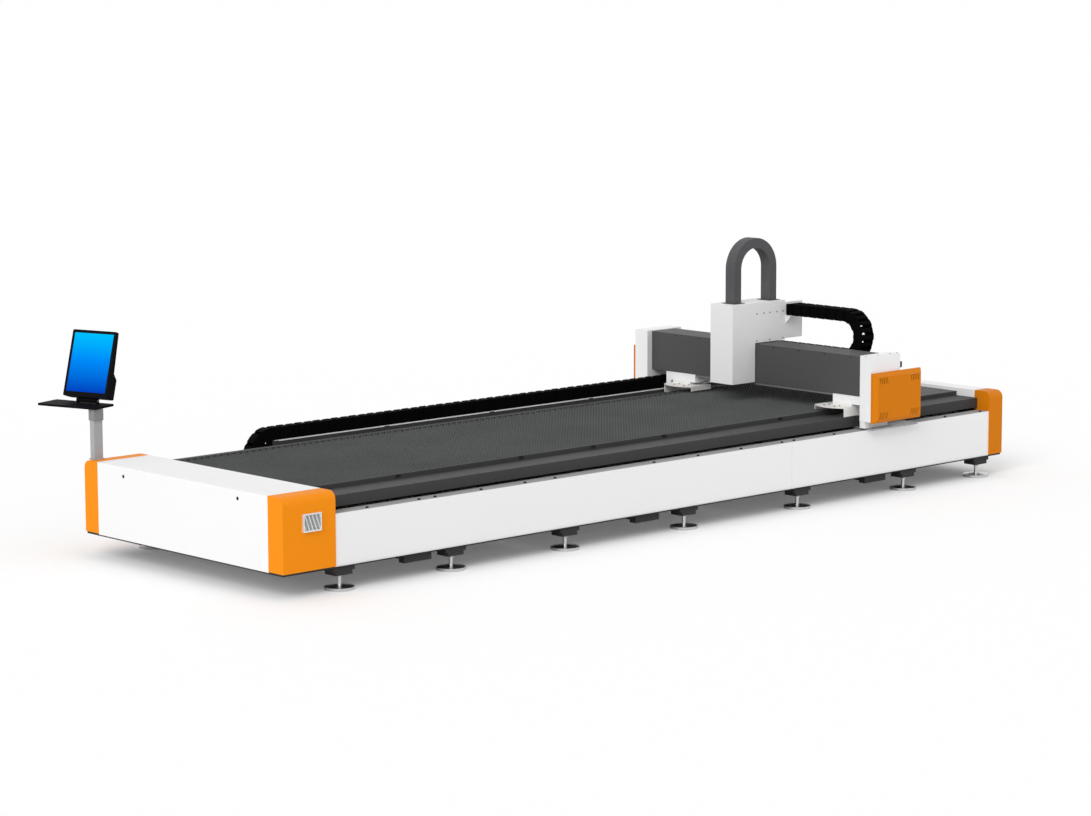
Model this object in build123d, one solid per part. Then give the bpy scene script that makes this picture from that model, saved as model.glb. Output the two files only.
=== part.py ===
from build123d import *
import math
import os

# Fiber laser cutting machine, a flat bed with a travelling gantry, in millimetres.
# The sizes below are measured from the front face of the bed (x), from its near
# side face (y) and from the floor (z). The finished parts are moved at the end so
# that the origin lies under the middle of the whole machine, at floor level.

# Bed, overall
LENGTH = 7600          # front face to rear face
WIDTH = 2300           # near side face to far side face
BED_BOTTOM = 165       # underside of the welded frame above the floor
LEDGE_TOP = 544        # top of the grey side ledges
LEDGE_THICK = 16
RAIL_SEAT = 487        # machined seat of the long rails
SHEET = 3              # cover sheet
WALL = 10              # wall of the welded frame tubes
SIDE_INSET = 8         # side panels behind the corner covers
PANEL_SHEET = 4
PANEL_DROP = 175       # lower edge of the side panels above the floor
PANEL_SEAM = 5042      # joint between the two panels of one side
PANEL_GAP = 2

# Side beam of the frame, seen in section from the near side face inwards
BEAM_INNER = 357       # inner face of the side beam
OUTER_TUBE = 116       # width of the tube under the ledge
INNER_TUBE = 107       # width of the tube under the rail
FLOOR_PLATE = 20
END_PLATE = 20         # plates across the ends of the frame

# Cutting deck
DECK_START = 495       # first slat
SLAT_PITCH = 60
REAR_PLATE = 790       # least length of the plate behind the slats
REAR_PLATE_FOLD = 90   # its folded sides
SLAT_THICK = 4
SLAT_HEIGHT = 94
DECK_TOP = 679
COMB_THICK = 6
COMB_FOOT = 120        # height of the comb plate under its slots
SUPPORT_WIDTH = 50     # middle support of the slats
SUPPORT_HEIGHT = 60
POST_LENGTH = 60
SLOT_SIDE = 0.4        # play on each side of a slat in its slot
SEAT = 0.3             # gap under a loose piece on its seat

# Fixed covers over the long rails
COVER_OUTER = 132      # outer flange of the rail cover
COVER_TOP = 644
COVER_BOTTOM = 564
COVER_BEND = 2.5       # outer radius of its upper fold

# Corner covers and end housings
CORNER_BOTTOM = 181
CORNER_TOP = 705
CORNER_WIDTH = 162
CORNER_FRONT = 459     # length of the front corner covers
CORNER_REAR = 165      # length of the rear corner covers
CORNER_ROUND = 60
CORNER_SHEET = 4
END_SHEET = 4

# Side vent
VENT_X = 166
VENT_Z = 452
VENT_WIDTH = 158
VENT_HEIGHT = 126
VENT_DEPTH = 18
VENT_RIM = 9
VENT_FINS = 4
VENT_FIN_THICK = 7
VENT_FIN_LEAN = 46

# Levelling feet
FOOT_STATIONS = (544, 1565, 2675, 3913, 5176, 6438, 7357)
FOOT_INSET = 73        # foot centre from the side face
FOOT_RADIUS = 105
FOOT_EDGE = 22
FOOT_HEIGHT = 34
FOOT_STEM = 14
FOOT_NUT = 22
FOOT_NUT_HEIGHT = 16
BRACKET_LENGTH = 190
BRACKET_WIDTH = 130
BRACKET_HEIGHT = 58
BRACKET_STEP = 22

# Cross members
CROSS_STATIONS = (600, 1640, 2750, 3990, 5250, 6500, 7300)
CROSS_WIDTH = 100
CROSS_HEIGHT = 120
LOW_STATIONS = (1230, 3490, 6060)
LOW_WIDTH = 90
LOW_HEIGHT = 56
LOW_CAP = 250
LOW_CAP_THICK = 60
LOW_REACH = 40         # cap face from the side face

# Scrap trays
TRAY_COUNT = 3         # along the bed, in two rows
TRAY_HEIGHT = 90
TRAY_SHEET = 4
TRAY_SIDE = 40         # tray to side beam
TRAY_GAP = 60          # between trays

# Long rails, racks and bearing blocks
RAIL_WIDTH = 34
RAIL_HEIGHT = 32
RAIL_START = 500
RAIL_SHORT = 220       # rails short of the rear face
RACK_WIDTH = 22
RACK_HEIGHT = 30
BLOCK_LENGTH = 120
BLOCK_WIDTH = 90
BLOCK_PLAY = 0.3       # running gap between a block and its rail

# Gantry
GANTRY_X = 5883        # front face of the beam with the gantry at rest
BEAM_DEPTH = 280
BEAM_BOTTOM = 813
BEAM_TOP = 1135
BEAM_NEAR = 57
BEAM_PAST = 100        # beam past the far side of the bed
BEAM_WALL = 10
SADDLE_THICK = 14
SADDLE_PLAY = 3        # saddle plate above the ledge
SADDLE_LENGTH = 540
SADDLE_OUTER = -56     # outer edge of the near saddle plate
SADDLE_INNER = 345     # inner edge, short of the comb plate
END_OUTER = -59        # outer face of the near end housing
END_BOTTOM = 616
END_TOP = 1142
END_DEPTH = 349
END_SHEET_T = 4
POST_WIDTH = 50
SEAT_REACH = 290       # beam seat inwards from the beam's end
SEAT_THICK = 70
GUARD_LENGTH = 577
GUARD_HEIGHT = 400
GUARD_PROUD = 50
GUARD_BEVEL = 30
GUARD_SHEET = 3
GUARD_DROP = 9         # guard below the end housing
SLIT_COUNT = 5
SLIT_PITCH = 21
SLIT_WIDTH = 7
SLIT_HEIGHT = 52
SLIT_LEAN = 14
SLIT_MARGIN_X = 50
SLIT_MARGIN_Z = 34
STRIP_BACK = 6         # strip behind the front face of the beam
STRIP_WIDTH = 40
STRIP_HEIGHT = 16
FAR_PLATE = 145        # width of the far end housing
FAR_PROUD = 54         # far end housing before the beam
ARM_CLEAR = 12         # far support arm outside the rail cover
ARM_THICK = 50

# Guard shelves that sweep the rail covers
SHELF_Z = 716
SHELF_THICK = 6
SHELF_REACH = 150      # forwards from the beam seat
SHELF_WIDTH = 318
SHELF_SIDE = 8         # shelf inside the outer flange of the rail cover
SHELF_BOW = 60         # rise of the rounded front edge
SHELF_CLEAR = 4        # skirts above the cover and the deck

# Drives of the gantry
MOTOR_SIDE = 90
MOTOR_LENGTH = 210
MOTOR_WEB = 10
PINION_TIP = 32
PINION_ROOT = 27
PINION_TEETH = 20
PINION_HEIGHT = 26
PINION_GAP = 3         # pinion under the saddle plate
SHAFT_RADIUS = 10
SHAFT_LENGTH = 40
SHAFT_PLAY = 0.05
RACK_GAP = 0.4         # tip of the pinion to the rack

# Cross rails and carriage
CROSS_RAIL_WIDTH = 30
CROSS_RAIL_HEIGHT = 28
CROSS_RAIL_MARGIN = 40
CROSS_RACK_HEIGHT = 24
CROSS_RACK_DEPTH = 24
CARRIAGE_PLATE = 16
CARRIAGE_FOOT = 40     # plate below the lower cross rail's centre line
CROSS_BLOCK_LENGTH = 60
CROSS_BLOCK_WIDTH = 70
BRIDGE_CLEAR = 45      # bridge of the carriage above the beam
HEAD_NEAR = 1193       # near face of the head housing
HEAD_WIDTH = 250
HEAD_FRONT = 5607
HEAD_BOTTOM = 820
HEAD_TOP = 1470
HEAD_COVER_DEPTH = 197 # front cover, up to its joint with the rear housing
HEAD_NOSE = 267        # depth of the part that hangs before the beam
HEAD_BACK = 6230
HEAD_OVER = 6          # housing above the beam
HEAD_SHEET = 3
BACK_PLATE_END = 6438
BACK_PLATE_BOTTOM = 1151
BACK_PLATE_TOP = 1452
BACK_PLATE_THICK = 6
GUSSET = 60

# Z axis and cutting head
Z_PLATE_THICK = 20
Z_PLATE_WIDTH = 150
Z_PLATE_BOTTOM = 830
SCREW_OUT = 28         # screw axis before the plate of the Z axis
SCREW_HOUSE = 28       # half width of the screw bearings
SCREW_FLOOR = 6        # closed floor of the lower bearing
Z_RAIL_WIDTH = 15
Z_RAIL_HEIGHT = 14
Z_RAIL_SPREAD = 50     # rails either side of the screw
Z_MOTOR_SIDE = 60
Z_MOTOR_HEIGHT = 100
SLIDE_THICK = 20       # slide before the screw axis
SLIDE_WIDTH = 140
SLIDE_HEIGHT = 150
SLIDE_PLAY = 1         # slide before the front plate
SLIDE_REST = 12        # raised slide below the upper bearing
CLAMP_WIDTH = 50
CLAMP_UP = 40
SCREW_RADIUS = 8
HEAD_BODY = 70         # side of the collimator housing
HEAD_AXIS = 5705       # optical axis at rest
NOZZLE_TIP = 826       # nozzle tip above the floor with the head raised
NOZZLE_HEIGHT = 40
LENS_HEIGHT = 150
COLLIMATOR_HEIGHT = 190
PORT_RADIUS = 16
PORT_HEIGHT = 50
DRAWER_PROUD = 8
DRAWER_HEIGHT = 24
LENS_BORE = 12
NOZZLE_BORE = 1.5
NOZZLE_FACE = 5
NOZZLE_RING = 20

# Hose loop on the head
LOOP_FRONT = 5687
LOOP_DEPTH = 80
LOOP_WIDTH = 100
LOOP_REAR = 6106
LOOP_TOP = 1996
LOOP_SIDE = 60         # loop from the near face of the head
LOOP_WALL = 4
LOOP_HOLE = 6          # hole in the cover inside the foot of the loop
COLLAR_REACH = 22
COLLAR_THICK = 4

# Energy chain of the carriage, behind the beam
YCHAIN_X = 6243
YCHAIN_WIDTH = 146
YCHAIN_HEIGHT = 96
YCHAIN_TOP = 1438
YCHAIN_RADIUS = 166    # bend radius on the centre line
YCHAIN_TURN = 573      # y of the bend's centre
YCHAIN_LOW_END = 1480  # far end of the lower run
YCHAIN_LINKS = 11      # links in the bend
LINK_GAP = 0.6
LINK_WALL = 14
YTRAY_SHEET = 4
YTRAY_LIP = 40
YTRAY_SIDE = 5         # lip beside the chain
YTRAY_STAY = 60        # depth of the stays at the beam

# Energy chain of the gantry, along the far side
XCHAIN_OFFSET = 8      # from the far side panel
LANE_CLEAR = 10        # rails and tray of the carriage short of this chain
XCHAIN_WIDTH = 90
XCHAIN_TOP = 755
XCHAIN_HEIGHT = 97
XCHAIN_START = 1702    # front end of the straight run
XCHAIN_RADIUS = 150
XCHAIN_TURN = 6766     # x of the bend's centre at rest
XCHAIN_PITCH = 90
XCHAIN_UPPER_LINKS = 6  # from the bend to the arm
XCHAIN_LINKS = 5        # links in the bend
XCHAIN_TAIL_LINKS = 3   # quarter turn at the fixed end
XCHAIN_FOOT = 8         # plate that holds the fixed end
XCHAIN_FOOT_DROP = 60
XTRAY_SHEET = 4
XTRAY_SHORT = 300      # tray short of the rear face
XTRAY_BRACKETS = 6
XTRAY_EDGE = 18        # lip of a tray bracket
XTRAY_SKIRT = 50       # folded edge of the tray
XTRAY_FOOT = 50
XTRAY_GRIP = 60        # brackets down the side panel
ARM_PLATE = 4

# Console
COLUMN_X = 72
COLUMN_Y_INSET = 55   # column axis from the far side face
COLUMN_DEPTH = 75
COLUMN_WIDTH = 50
COLUMN_TOP = 990
COLUMN_WALL = 4
COLUMN_BASE = 8
COLUMN_RIM = 8
SLEEVE_DEPTH = 82
SLEEVE_WIDTH = 68
SLEEVE_HEIGHT = 84
PIVOT_RADIUS = 14
PIVOT_LENGTH = 40
PIVOT_PLAY = 0.08
CONSOLE_TURN = 18      # the console faces the front, turned towards the near side
DESK_WIDTH = 522
DESK_DEPTH = 228
DESK_THICK = 16
DESK_RIGHT = 40        # desk edge right of the column axis
DESK_FRONT = 60        # desk edge before the column axis
DESK_ROUND = 12
SCREEN_WIDTH = 392
SCREEN_HEIGHT = 492
SCREEN_THIN = 26       # casing at the top
SCREEN_THICK = 88      # casing at the foot
SCREEN_BEZEL = 22
SCREEN_LEAN = 17
SCREEN_ROUND = 12
GLASS_THICK = 3
HINGE_RADIUS = 9
HINGE_PLAY = 0.05
HINGE_HEIGHT = 20      # hinge axis above the desk
HINGE_BACK = 48        # hinge axis before the rear edge of the desk
HINGE_SPAN = 160
LUG_THICK = 14
LUG_HALF = 14
PIN_PLAY = 0.03
BOSS_DROP = 16         # hinge axis below the casing
SCREEN_SIDE = 6        # casing short of the right edge of the desk
SCREEN_CHIN = 36
SCREEN_WAIST = 190
SCREEN_SWELL = 20

FAR = WIDTH
rail_end = LENGTH - RAIL_SHORT
beam_far = FAR + BEAM_PAST


def block(x0, x1, y0, y1, z0, z1):
    """A plain block between six planes"""
    middle = Pos((x0 + x1) / 2, (y0 + y1) / 2, (z0 + z1) / 2)
    return middle * Box(x1 - x0, y1 - y0, z1 - z0)


def along_x(outline, x0, x1):
    """A closed outline of (y, z) points carried along the bed"""
    face = make_face(Polyline(*outline, close=True))
    return extrude(Plane.YZ.offset(x0) * face, x1 - x0)


def along_y(outline, y0, y1):
    """A closed outline of (x, z) points carried across the bed"""
    face = make_face(Polyline(*outline, close=True))
    return extrude(Plane.XZ.offset(-y1) * face, y1 - y0)


def along_z(outline, z0, z1):
    """A closed outline of (x, y) points carried upwards"""
    face = make_face(Polyline(*outline, close=True))
    return extrude(Plane.XY.offset(z0) * face, z1 - z0)


def far_side(shape):
    """The mirror piece on the far side of the bed"""
    return mirror(shape, Plane.XZ.offset(-FAR / 2))


def group(*shapes):
    """Separate solids kept together in one node"""
    return Compound(children=[s for shape in shapes for s in shape.solids()])


parts = {}

# Frame: two side beams of two tubes and a floor plate, tied by cross tubes
panel_back = SIDE_INSET + PANEL_SHEET
outer_in = panel_back + OUTER_TUBE
inner_out = BEAM_INNER - INNER_TUBE
ledge_seat = LEDGE_TOP - LEDGE_THICK
frame_front = END_SHEET
frame_rear = LENGTH - END_SHEET
beam_outline = [
    (panel_back, BED_BOTTOM),
    (BEAM_INNER, BED_BOTTOM),
    (BEAM_INNER, RAIL_SEAT),
    (inner_out, RAIL_SEAT),
    (inner_out, BED_BOTTOM + FLOOR_PLATE),
    (outer_in, BED_BOTTOM + FLOOR_PLATE),
    (outer_in, ledge_seat),
    (panel_back, ledge_seat),
]
side_beam = along_x(beam_outline, frame_front, frame_rear)
tube_floor = BED_BOTTOM + FLOOR_PLATE
beam_hollows = block(
    frame_front, frame_rear, panel_back + WALL, outer_in - WALL, tube_floor, ledge_seat - WALL
)
beam_hollows += block(
    frame_front, frame_rear, inner_out + WALL, BEAM_INNER - WALL, tube_floor, RAIL_SEAT - WALL
)
frame = side_beam + far_side(side_beam)
cross_hollows = []
for station in CROSS_STATIONS:
    cross_x0 = station - CROSS_WIDTH / 2
    cross_x1 = station + CROSS_WIDTH / 2
    cross_top = BED_BOTTOM + CROSS_HEIGHT
    frame += block(cross_x0, cross_x1, BEAM_INNER, FAR - BEAM_INNER, BED_BOTTOM, cross_top)
    cross_hollows.append(
        block(
            cross_x0 + WALL,
            cross_x1 - WALL,
            BEAM_INNER - WALL,
            FAR - BEAM_INNER + WALL,
            tube_floor,
            cross_top - WALL,
        )
    )
for x in (frame_front, frame_rear - END_PLATE):
    frame += block(x, x + END_PLATE, panel_back, FAR - panel_back, BED_BOTTOM, ledge_seat)
frame -= beam_hollows + far_side(beam_hollows)
for hollow in cross_hollows:
    frame -= hollow
parts["bed_frame"] = frame

# Low cross members that show between the feet, each with a cap at both ends
low = []
for station in LOW_STATIONS:
    low_top = BED_BOTTOM
    low_bottom = BED_BOTTOM - LOW_HEIGHT
    bar = block(
        station - LOW_WIDTH / 2,
        station + LOW_WIDTH / 2,
        LOW_REACH + LOW_CAP_THICK,
        FAR - LOW_REACH - LOW_CAP_THICK,
        low_bottom,
        low_top,
    )
    cap = block(
        station - LOW_CAP / 2,
        station + LOW_CAP / 2,
        LOW_REACH,
        LOW_REACH + LOW_CAP_THICK,
        low_bottom,
        low_top,
    )
    low.append(bar + cap + far_side(cap))
parts["low_cross_members"] = group(*low)

# Levelling feet: a stepped bracket under the frame, a pad with its stem, a lock nut
brackets = []
feet = []
nuts = []
bracket_low = BED_BOTTOM - BRACKET_HEIGHT
for station in FOOT_STATIONS:
    half = BRACKET_LENGTH / 2
    step_z = bracket_low + BRACKET_HEIGHT / 2
    outline = [
        (station - half, BED_BOTTOM),
        (station - half, step_z),
        (station - half + BRACKET_STEP, step_z),
        (station - half + BRACKET_STEP, bracket_low),
        (station + half - BRACKET_STEP, bracket_low),
        (station + half - BRACKET_STEP, step_z),
        (station + half, step_z),
        (station + half, BED_BOTTOM),
    ]
    bracket = along_y(
        outline, FOOT_INSET - BRACKET_WIDTH / 2 + 10, FOOT_INSET + BRACKET_WIDTH / 2
    )
    hole_depth = BRACKET_HEIGHT - WALL
    hole = Cylinder(FOOT_STEM + SEAT, hole_depth, align=(Align.CENTER, Align.CENTER, Align.MIN))
    bracket -= Pos(station, FOOT_INSET, bracket_low) * hole
    profile = make_face(
        Polyline(
            (0, 0),
            (FOOT_RADIUS, 0),
            (FOOT_RADIUS, FOOT_EDGE),
            (FOOT_STEM * 2, FOOT_HEIGHT),
            (FOOT_STEM, FOOT_HEIGHT),
            (FOOT_STEM, bracket_low + hole_depth - SEAT),
            (0, bracket_low + hole_depth - SEAT),
            close=True,
        )
    )
    foot = revolve(Plane.XZ * profile, Axis.Z)
    hexagon = RegularPolygon(FOOT_NUT, 6) - Circle(FOOT_STEM + SEAT)
    nut = extrude(Plane.XY.offset(bracket_low - FOOT_NUT_HEIGHT) * hexagon, FOOT_NUT_HEIGHT)
    brackets += [bracket, far_side(bracket)]
    for y in (FOOT_INSET, FAR - FOOT_INSET):
        feet.append(Pos(station, y, 0) * foot)
        nuts.append(Pos(station, y, 0) * nut)
parts["foot_brackets"] = group(*brackets)
parts["levelling_feet"] = group(*feet)
parts["lock_nuts"] = group(*nuts)

# Grey ledges and white side panels, folded inwards at the lower edge
ledge_x0 = CORNER_FRONT
ledge_x1 = LENGTH - CORNER_REAR
ledge = block(ledge_x0, ledge_x1, panel_back, COVER_OUTER, ledge_seat, LEDGE_TOP)
parts["side_ledges"] = group(ledge, far_side(ledge))
panel_outline = [
    (SIDE_INSET, PANEL_DROP),
    (SIDE_INSET, LEDGE_TOP),
    (panel_back, LEDGE_TOP),
    (panel_back, PANEL_DROP),
]
panel_front = along_x(panel_outline, ledge_x0, PANEL_SEAM)
panel_rear = along_x(panel_outline, PANEL_SEAM + PANEL_GAP, ledge_x1)
parts["side_panels"] = group(panel_front, panel_rear, far_side(panel_front), far_side(panel_rear))

# Cutting deck: slats on edge in the slots of two comb plates
slat_room = LENGTH - CORNER_REAR - REAR_PLATE - DECK_START
slat_count = int(slat_room / SLAT_PITCH) + 1
comb_bottom = DECK_TOP - SLAT_HEIGHT - COMB_FOOT
slot_bottom = DECK_TOP - SLAT_HEIGHT - SEAT
comb_x0 = DECK_START - SLAT_PITCH / 2
comb_x1 = DECK_START + (slat_count - 1) * SLAT_PITCH + SLAT_PITCH / 2
half_slot = SLAT_THICK / 2 + SLOT_SIDE
comb_outline = [
    (comb_x1, DECK_TOP),
    (comb_x1, comb_bottom),
    (comb_x0, comb_bottom),
    (comb_x0, DECK_TOP),
]
for i in range(slat_count):
    x = DECK_START + i * SLAT_PITCH
    comb_outline += [
        (x - half_slot, DECK_TOP),
        (x - half_slot, slot_bottom),
        (x + half_slot, slot_bottom),
        (x + half_slot, DECK_TOP),
    ]
comb = along_y(comb_outline, BEAM_INNER, BEAM_INNER + COMB_THICK)
parts["slat_combs"] = group(comb, far_side(comb))
slat_near = BEAM_INNER + SEAT
slats = [
    block(
        DECK_START + i * SLAT_PITCH - SLAT_THICK / 2,
        DECK_START + i * SLAT_PITCH + SLAT_THICK / 2,
        slat_near,
        FAR - slat_near,
        DECK_TOP - SLAT_HEIGHT,
        DECK_TOP,
    )
    for i in range(slat_count)
]
parts["slats"] = group(*slats)

# Middle support of the slats, a tube along the bed on posts from the cross tubes
support_top = DECK_TOP - SLAT_HEIGHT - SEAT
support_y0 = (FAR - SUPPORT_WIDTH) / 2
support_y1 = (FAR + SUPPORT_WIDTH) / 2
support = block(
    comb_x0, comb_x1, support_y0, support_y1, support_top - SUPPORT_HEIGHT, support_top
)
for station in CROSS_STATIONS:
    if comb_x0 < station < comb_x1:
        support += block(
            station - POST_LENGTH / 2,
            station + POST_LENGTH / 2,
            support_y0,
            support_y1,
            BED_BOTTOM + CROSS_HEIGHT,
            support_top - SUPPORT_HEIGHT,
        )
parts["slat_support"] = support

# Scrap trays on the cross tubes
trays = []
tray_bottom = BED_BOTTOM + CROSS_HEIGHT
tray_run = (comb_x1 - comb_x0) / TRAY_COUNT
for i in range(TRAY_COUNT):
    x0 = comb_x0 + i * tray_run + TRAY_GAP / 2
    x1 = x0 + tray_run - TRAY_GAP
    for y0, y1 in (
        (BEAM_INNER + TRAY_SIDE, FAR / 2 - TRAY_SIDE),
        (FAR / 2 + TRAY_SIDE, FAR - BEAM_INNER - TRAY_SIDE),
    ):
        tray = block(x0, x1, y0, y1, tray_bottom, tray_bottom + TRAY_HEIGHT)
        tray -= block(
            x0 + TRAY_SHEET,
            x1 - TRAY_SHEET,
            y0 + TRAY_SHEET,
            y1 - TRAY_SHEET,
            tray_bottom + TRAY_SHEET,
            tray_bottom + TRAY_HEIGHT,
        )
        trays.append(tray)
parts["scrap_trays"] = group(*trays)

# Rail covers: one folded sheet each, from the outer flange over the rail to the lip
cover_in = BEAM_INNER - SHEET
cover_outline = [
    (COVER_OUTER, COVER_BOTTOM),
    (COVER_OUTER, COVER_TOP),
    (cover_in, COVER_TOP),
    (cover_in, DECK_TOP),
    (BEAM_INNER, DECK_TOP),
    (BEAM_INNER, COVER_TOP - SHEET),
    (COVER_OUTER + SHEET, COVER_TOP - SHEET),
    (COVER_OUTER + SHEET, COVER_BOTTOM),
]
cover = along_x(cover_outline, CORNER_FRONT, LENGTH - CORNER_REAR)
cover_edge = cover.edges().filter_by(Axis.X).sort_by_distance(
    Vector(LENGTH / 2, COVER_OUTER, COVER_TOP)
)[0]
cover = fillet(cover_edge, COVER_BEND)
parts["rail_covers"] = group(cover, far_side(cover))

# Rear deck plate behind the slats, folded down at the sides
plate_top = DECK_TOP
rear_plate_x0 = comb_x1 + SLAT_PITCH / 2
rear_plate_x1 = LENGTH - CORNER_REAR
rear_plate = along_x(
    [
        (BEAM_INNER, plate_top - REAR_PLATE_FOLD),
        (BEAM_INNER, plate_top),
        (FAR - BEAM_INNER, plate_top),
        (FAR - BEAM_INNER, plate_top - REAR_PLATE_FOLD),
        (FAR - BEAM_INNER - SHEET, plate_top - REAR_PLATE_FOLD),
        (FAR - BEAM_INNER - SHEET, plate_top - SHEET),
        (BEAM_INNER + SHEET, plate_top - SHEET),
        (BEAM_INNER + SHEET, plate_top - REAR_PLATE_FOLD),
    ],
    rear_plate_x0,
    rear_plate_x1,
)
parts["rear_deck_plate"] = rear_plate


def corner_cover(x0, x1, bed_end):
    """A rounded corner box of sheet, open below, at its inner side and round the frame"""
    outer = block(x0, x1, 0, CORNER_WIDTH, CORNER_BOTTOM, CORNER_TOP)
    edge = outer.edges().filter_by(Axis.X).sort_by_distance(Vector(x0, 0, CORNER_TOP))[0]
    outer = fillet(edge, CORNER_ROUND)
    inner = block(
        x0 + CORNER_SHEET,
        x1 - CORNER_SHEET,
        CORNER_SHEET,
        CORNER_WIDTH,
        CORNER_BOTTOM,
        CORNER_TOP - CORNER_SHEET,
    )
    inner_top = Vector(x0, CORNER_SHEET, CORNER_TOP - CORNER_SHEET)
    edge = inner.edges().filter_by(Axis.X).sort_by_distance(inner_top)[0]
    inner = fillet(edge, CORNER_ROUND - CORNER_SHEET)
    passage = block(
        bed_end - CORNER_SHEET,
        bed_end + CORNER_SHEET,
        panel_back - SEAT,
        CORNER_WIDTH,
        CORNER_BOTTOM,
        LEDGE_TOP,
    )
    return outer - inner - passage


# Orange corner covers
rear_x0 = LENGTH - CORNER_REAR
cover_front = corner_cover(0, CORNER_FRONT, CORNER_FRONT)
vent_x1 = VENT_X + VENT_WIDTH
vent_z1 = VENT_Z + VENT_HEIGHT
vent_window = block(
    VENT_X + VENT_RIM,
    vent_x1 - VENT_RIM,
    -VENT_DEPTH,
    CORNER_SHEET,
    VENT_Z + VENT_RIM,
    vent_z1 - VENT_RIM,
)
cover_rear = corner_cover(rear_x0, LENGTH, rear_x0)
parts["corner_covers_front"] = group(cover_front - vent_window, far_side(cover_front))
parts["corner_covers_rear"] = group(cover_rear, far_side(cover_rear))

# Side vent: a proud rim with leaning fins
vent = block(VENT_X, vent_x1, -VENT_DEPTH, 0, VENT_Z, vent_z1) - vent_window
fin_space = VENT_WIDTH - 2 * VENT_RIM - VENT_FIN_LEAN
fin_pitch = fin_space / (VENT_FINS - 1)
for i in range(VENT_FINS + 2):
    x = VENT_X + VENT_RIM + (i - 1) * fin_pitch
    fin = along_y(
        [
            (x, vent_z1),
            (x + VENT_FIN_THICK, vent_z1),
            (x + VENT_FIN_THICK + VENT_FIN_LEAN, VENT_Z),
            (x + VENT_FIN_LEAN, VENT_Z),
        ],
        -VENT_DEPTH + VENT_RIM / 3,
        0,
    )
    vent += fin & vent_window
parts["side_vent"] = vent

# White end housings: folded sheet between the corner covers
housing_sheet = END_SHEET
housing_lip = DECK_TOP - 40
front_outline = [
    (0, PANEL_DROP),
    (0, CORNER_TOP),
    (CORNER_FRONT, CORNER_TOP),
    (CORNER_FRONT, housing_lip),
    (CORNER_FRONT - housing_sheet, housing_lip),
    (CORNER_FRONT - housing_sheet, CORNER_TOP - housing_sheet),
    (housing_sheet, CORNER_TOP - housing_sheet),
    (housing_sheet, PANEL_DROP),
]
rear_outline = [
    (LENGTH, PANEL_DROP),
    (LENGTH, CORNER_TOP),
    (rear_x0, CORNER_TOP),
    (rear_x0, housing_lip),
    (rear_x0 + housing_sheet, housing_lip),
    (rear_x0 + housing_sheet, CORNER_TOP - housing_sheet),
    (LENGTH - housing_sheet, CORNER_TOP - housing_sheet),
    (LENGTH - housing_sheet, PANEL_DROP),
]
parts["front_housing"] = along_y(front_outline, CORNER_WIDTH, FAR - CORNER_WIDTH)
parts["rear_housing"] = along_y(rear_outline, CORNER_WIDTH, FAR - CORNER_WIDTH)

# Long rails and racks in the side beams
rail_y = inner_out + INNER_TUBE / 2
rail_top = RAIL_SEAT + RAIL_HEIGHT
rail = block(
    RAIL_START, rail_end, rail_y - RAIL_WIDTH / 2, rail_y + RAIL_WIDTH / 2, RAIL_SEAT, rail_top
)
parts["x_rails"] = group(rail, far_side(rail))
rack_face = outer_in + RACK_WIDTH
rack_low = ledge_seat - RACK_HEIGHT
rack = block(RAIL_START, rail_end, outer_in, rack_face, rack_low, ledge_seat)
parts["x_racks"] = group(rack, far_side(rack))

# Gantry saddles: flat plates that pass between the ledge and the rail cover
saddle_z0 = LEDGE_TOP + SADDLE_PLAY
saddle_z1 = saddle_z0 + SADDLE_THICK
saddle_x0 = GANTRY_X + (END_DEPTH - BEAM_DEPTH) / 2
saddle_x1 = saddle_x0 + SADDLE_LENGTH
arm_y0 = FAR - COVER_OUTER + ARM_CLEAR
arm_y1 = arm_y0 + ARM_THICK
saddle_near = block(saddle_x0, saddle_x1, SADDLE_OUTER, SADDLE_INNER, saddle_z0, saddle_z1)
saddle_far = block(saddle_x0, saddle_x1, FAR - SADDLE_INNER, arm_y1, saddle_z0, saddle_z1)
parts["gantry_saddles"] = group(saddle_near, saddle_far)

# Bearing blocks that straddle the long rails
blocks = []
for x in (saddle_x0 + BLOCK_LENGTH / 2, saddle_x1 - 3 * BLOCK_LENGTH / 2):
    bearing = block(
        x,
        x + BLOCK_LENGTH,
        rail_y - BLOCK_WIDTH / 2,
        rail_y + BLOCK_WIDTH / 2,
        RAIL_SEAT + RAIL_HEIGHT / 2,
        saddle_z0,
    )
    bearing -= block(
        x,
        x + BLOCK_LENGTH,
        rail_y - RAIL_WIDTH / 2 - BLOCK_PLAY,
        rail_y + RAIL_WIDTH / 2 + BLOCK_PLAY,
        RAIL_SEAT,
        rail_top + BLOCK_PLAY,
    )
    blocks += [bearing, far_side(bearing)]
parts["x_bearing_blocks"] = group(*blocks)

# Gantry drives: a motor hung under each saddle, its pinion against the rack
pinion_x = (saddle_x0 + saddle_x1) / 2
pinion_y = rack_face + RACK_GAP + PINION_TIP
pinion_z0 = rack_low + (RACK_HEIGHT - PINION_HEIGHT) / 2
motor_top = pinion_z0 - PINION_GAP
motor_half = MOTOR_SIDE / 2
web_y0 = pinion_y + PINION_TIP + PINION_GAP
motor = block(
    pinion_x - motor_half,
    pinion_x + motor_half,
    pinion_y - motor_half,
    web_y0 + MOTOR_WEB,
    motor_top - MOTOR_LENGTH,
    motor_top,
)
motor += block(
    pinion_x - motor_half,
    pinion_x + motor_half,
    web_y0,
    web_y0 + MOTOR_WEB,
    motor_top,
    saddle_z0,
)
bore = Cylinder(
    SHAFT_RADIUS + SHAFT_PLAY, SHAFT_LENGTH, align=(Align.CENTER, Align.CENTER, Align.MAX)
)
motor -= Pos(pinion_x, pinion_y, motor_top) * bore
parts["x_drive_motors"] = group(motor, far_side(motor))


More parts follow.
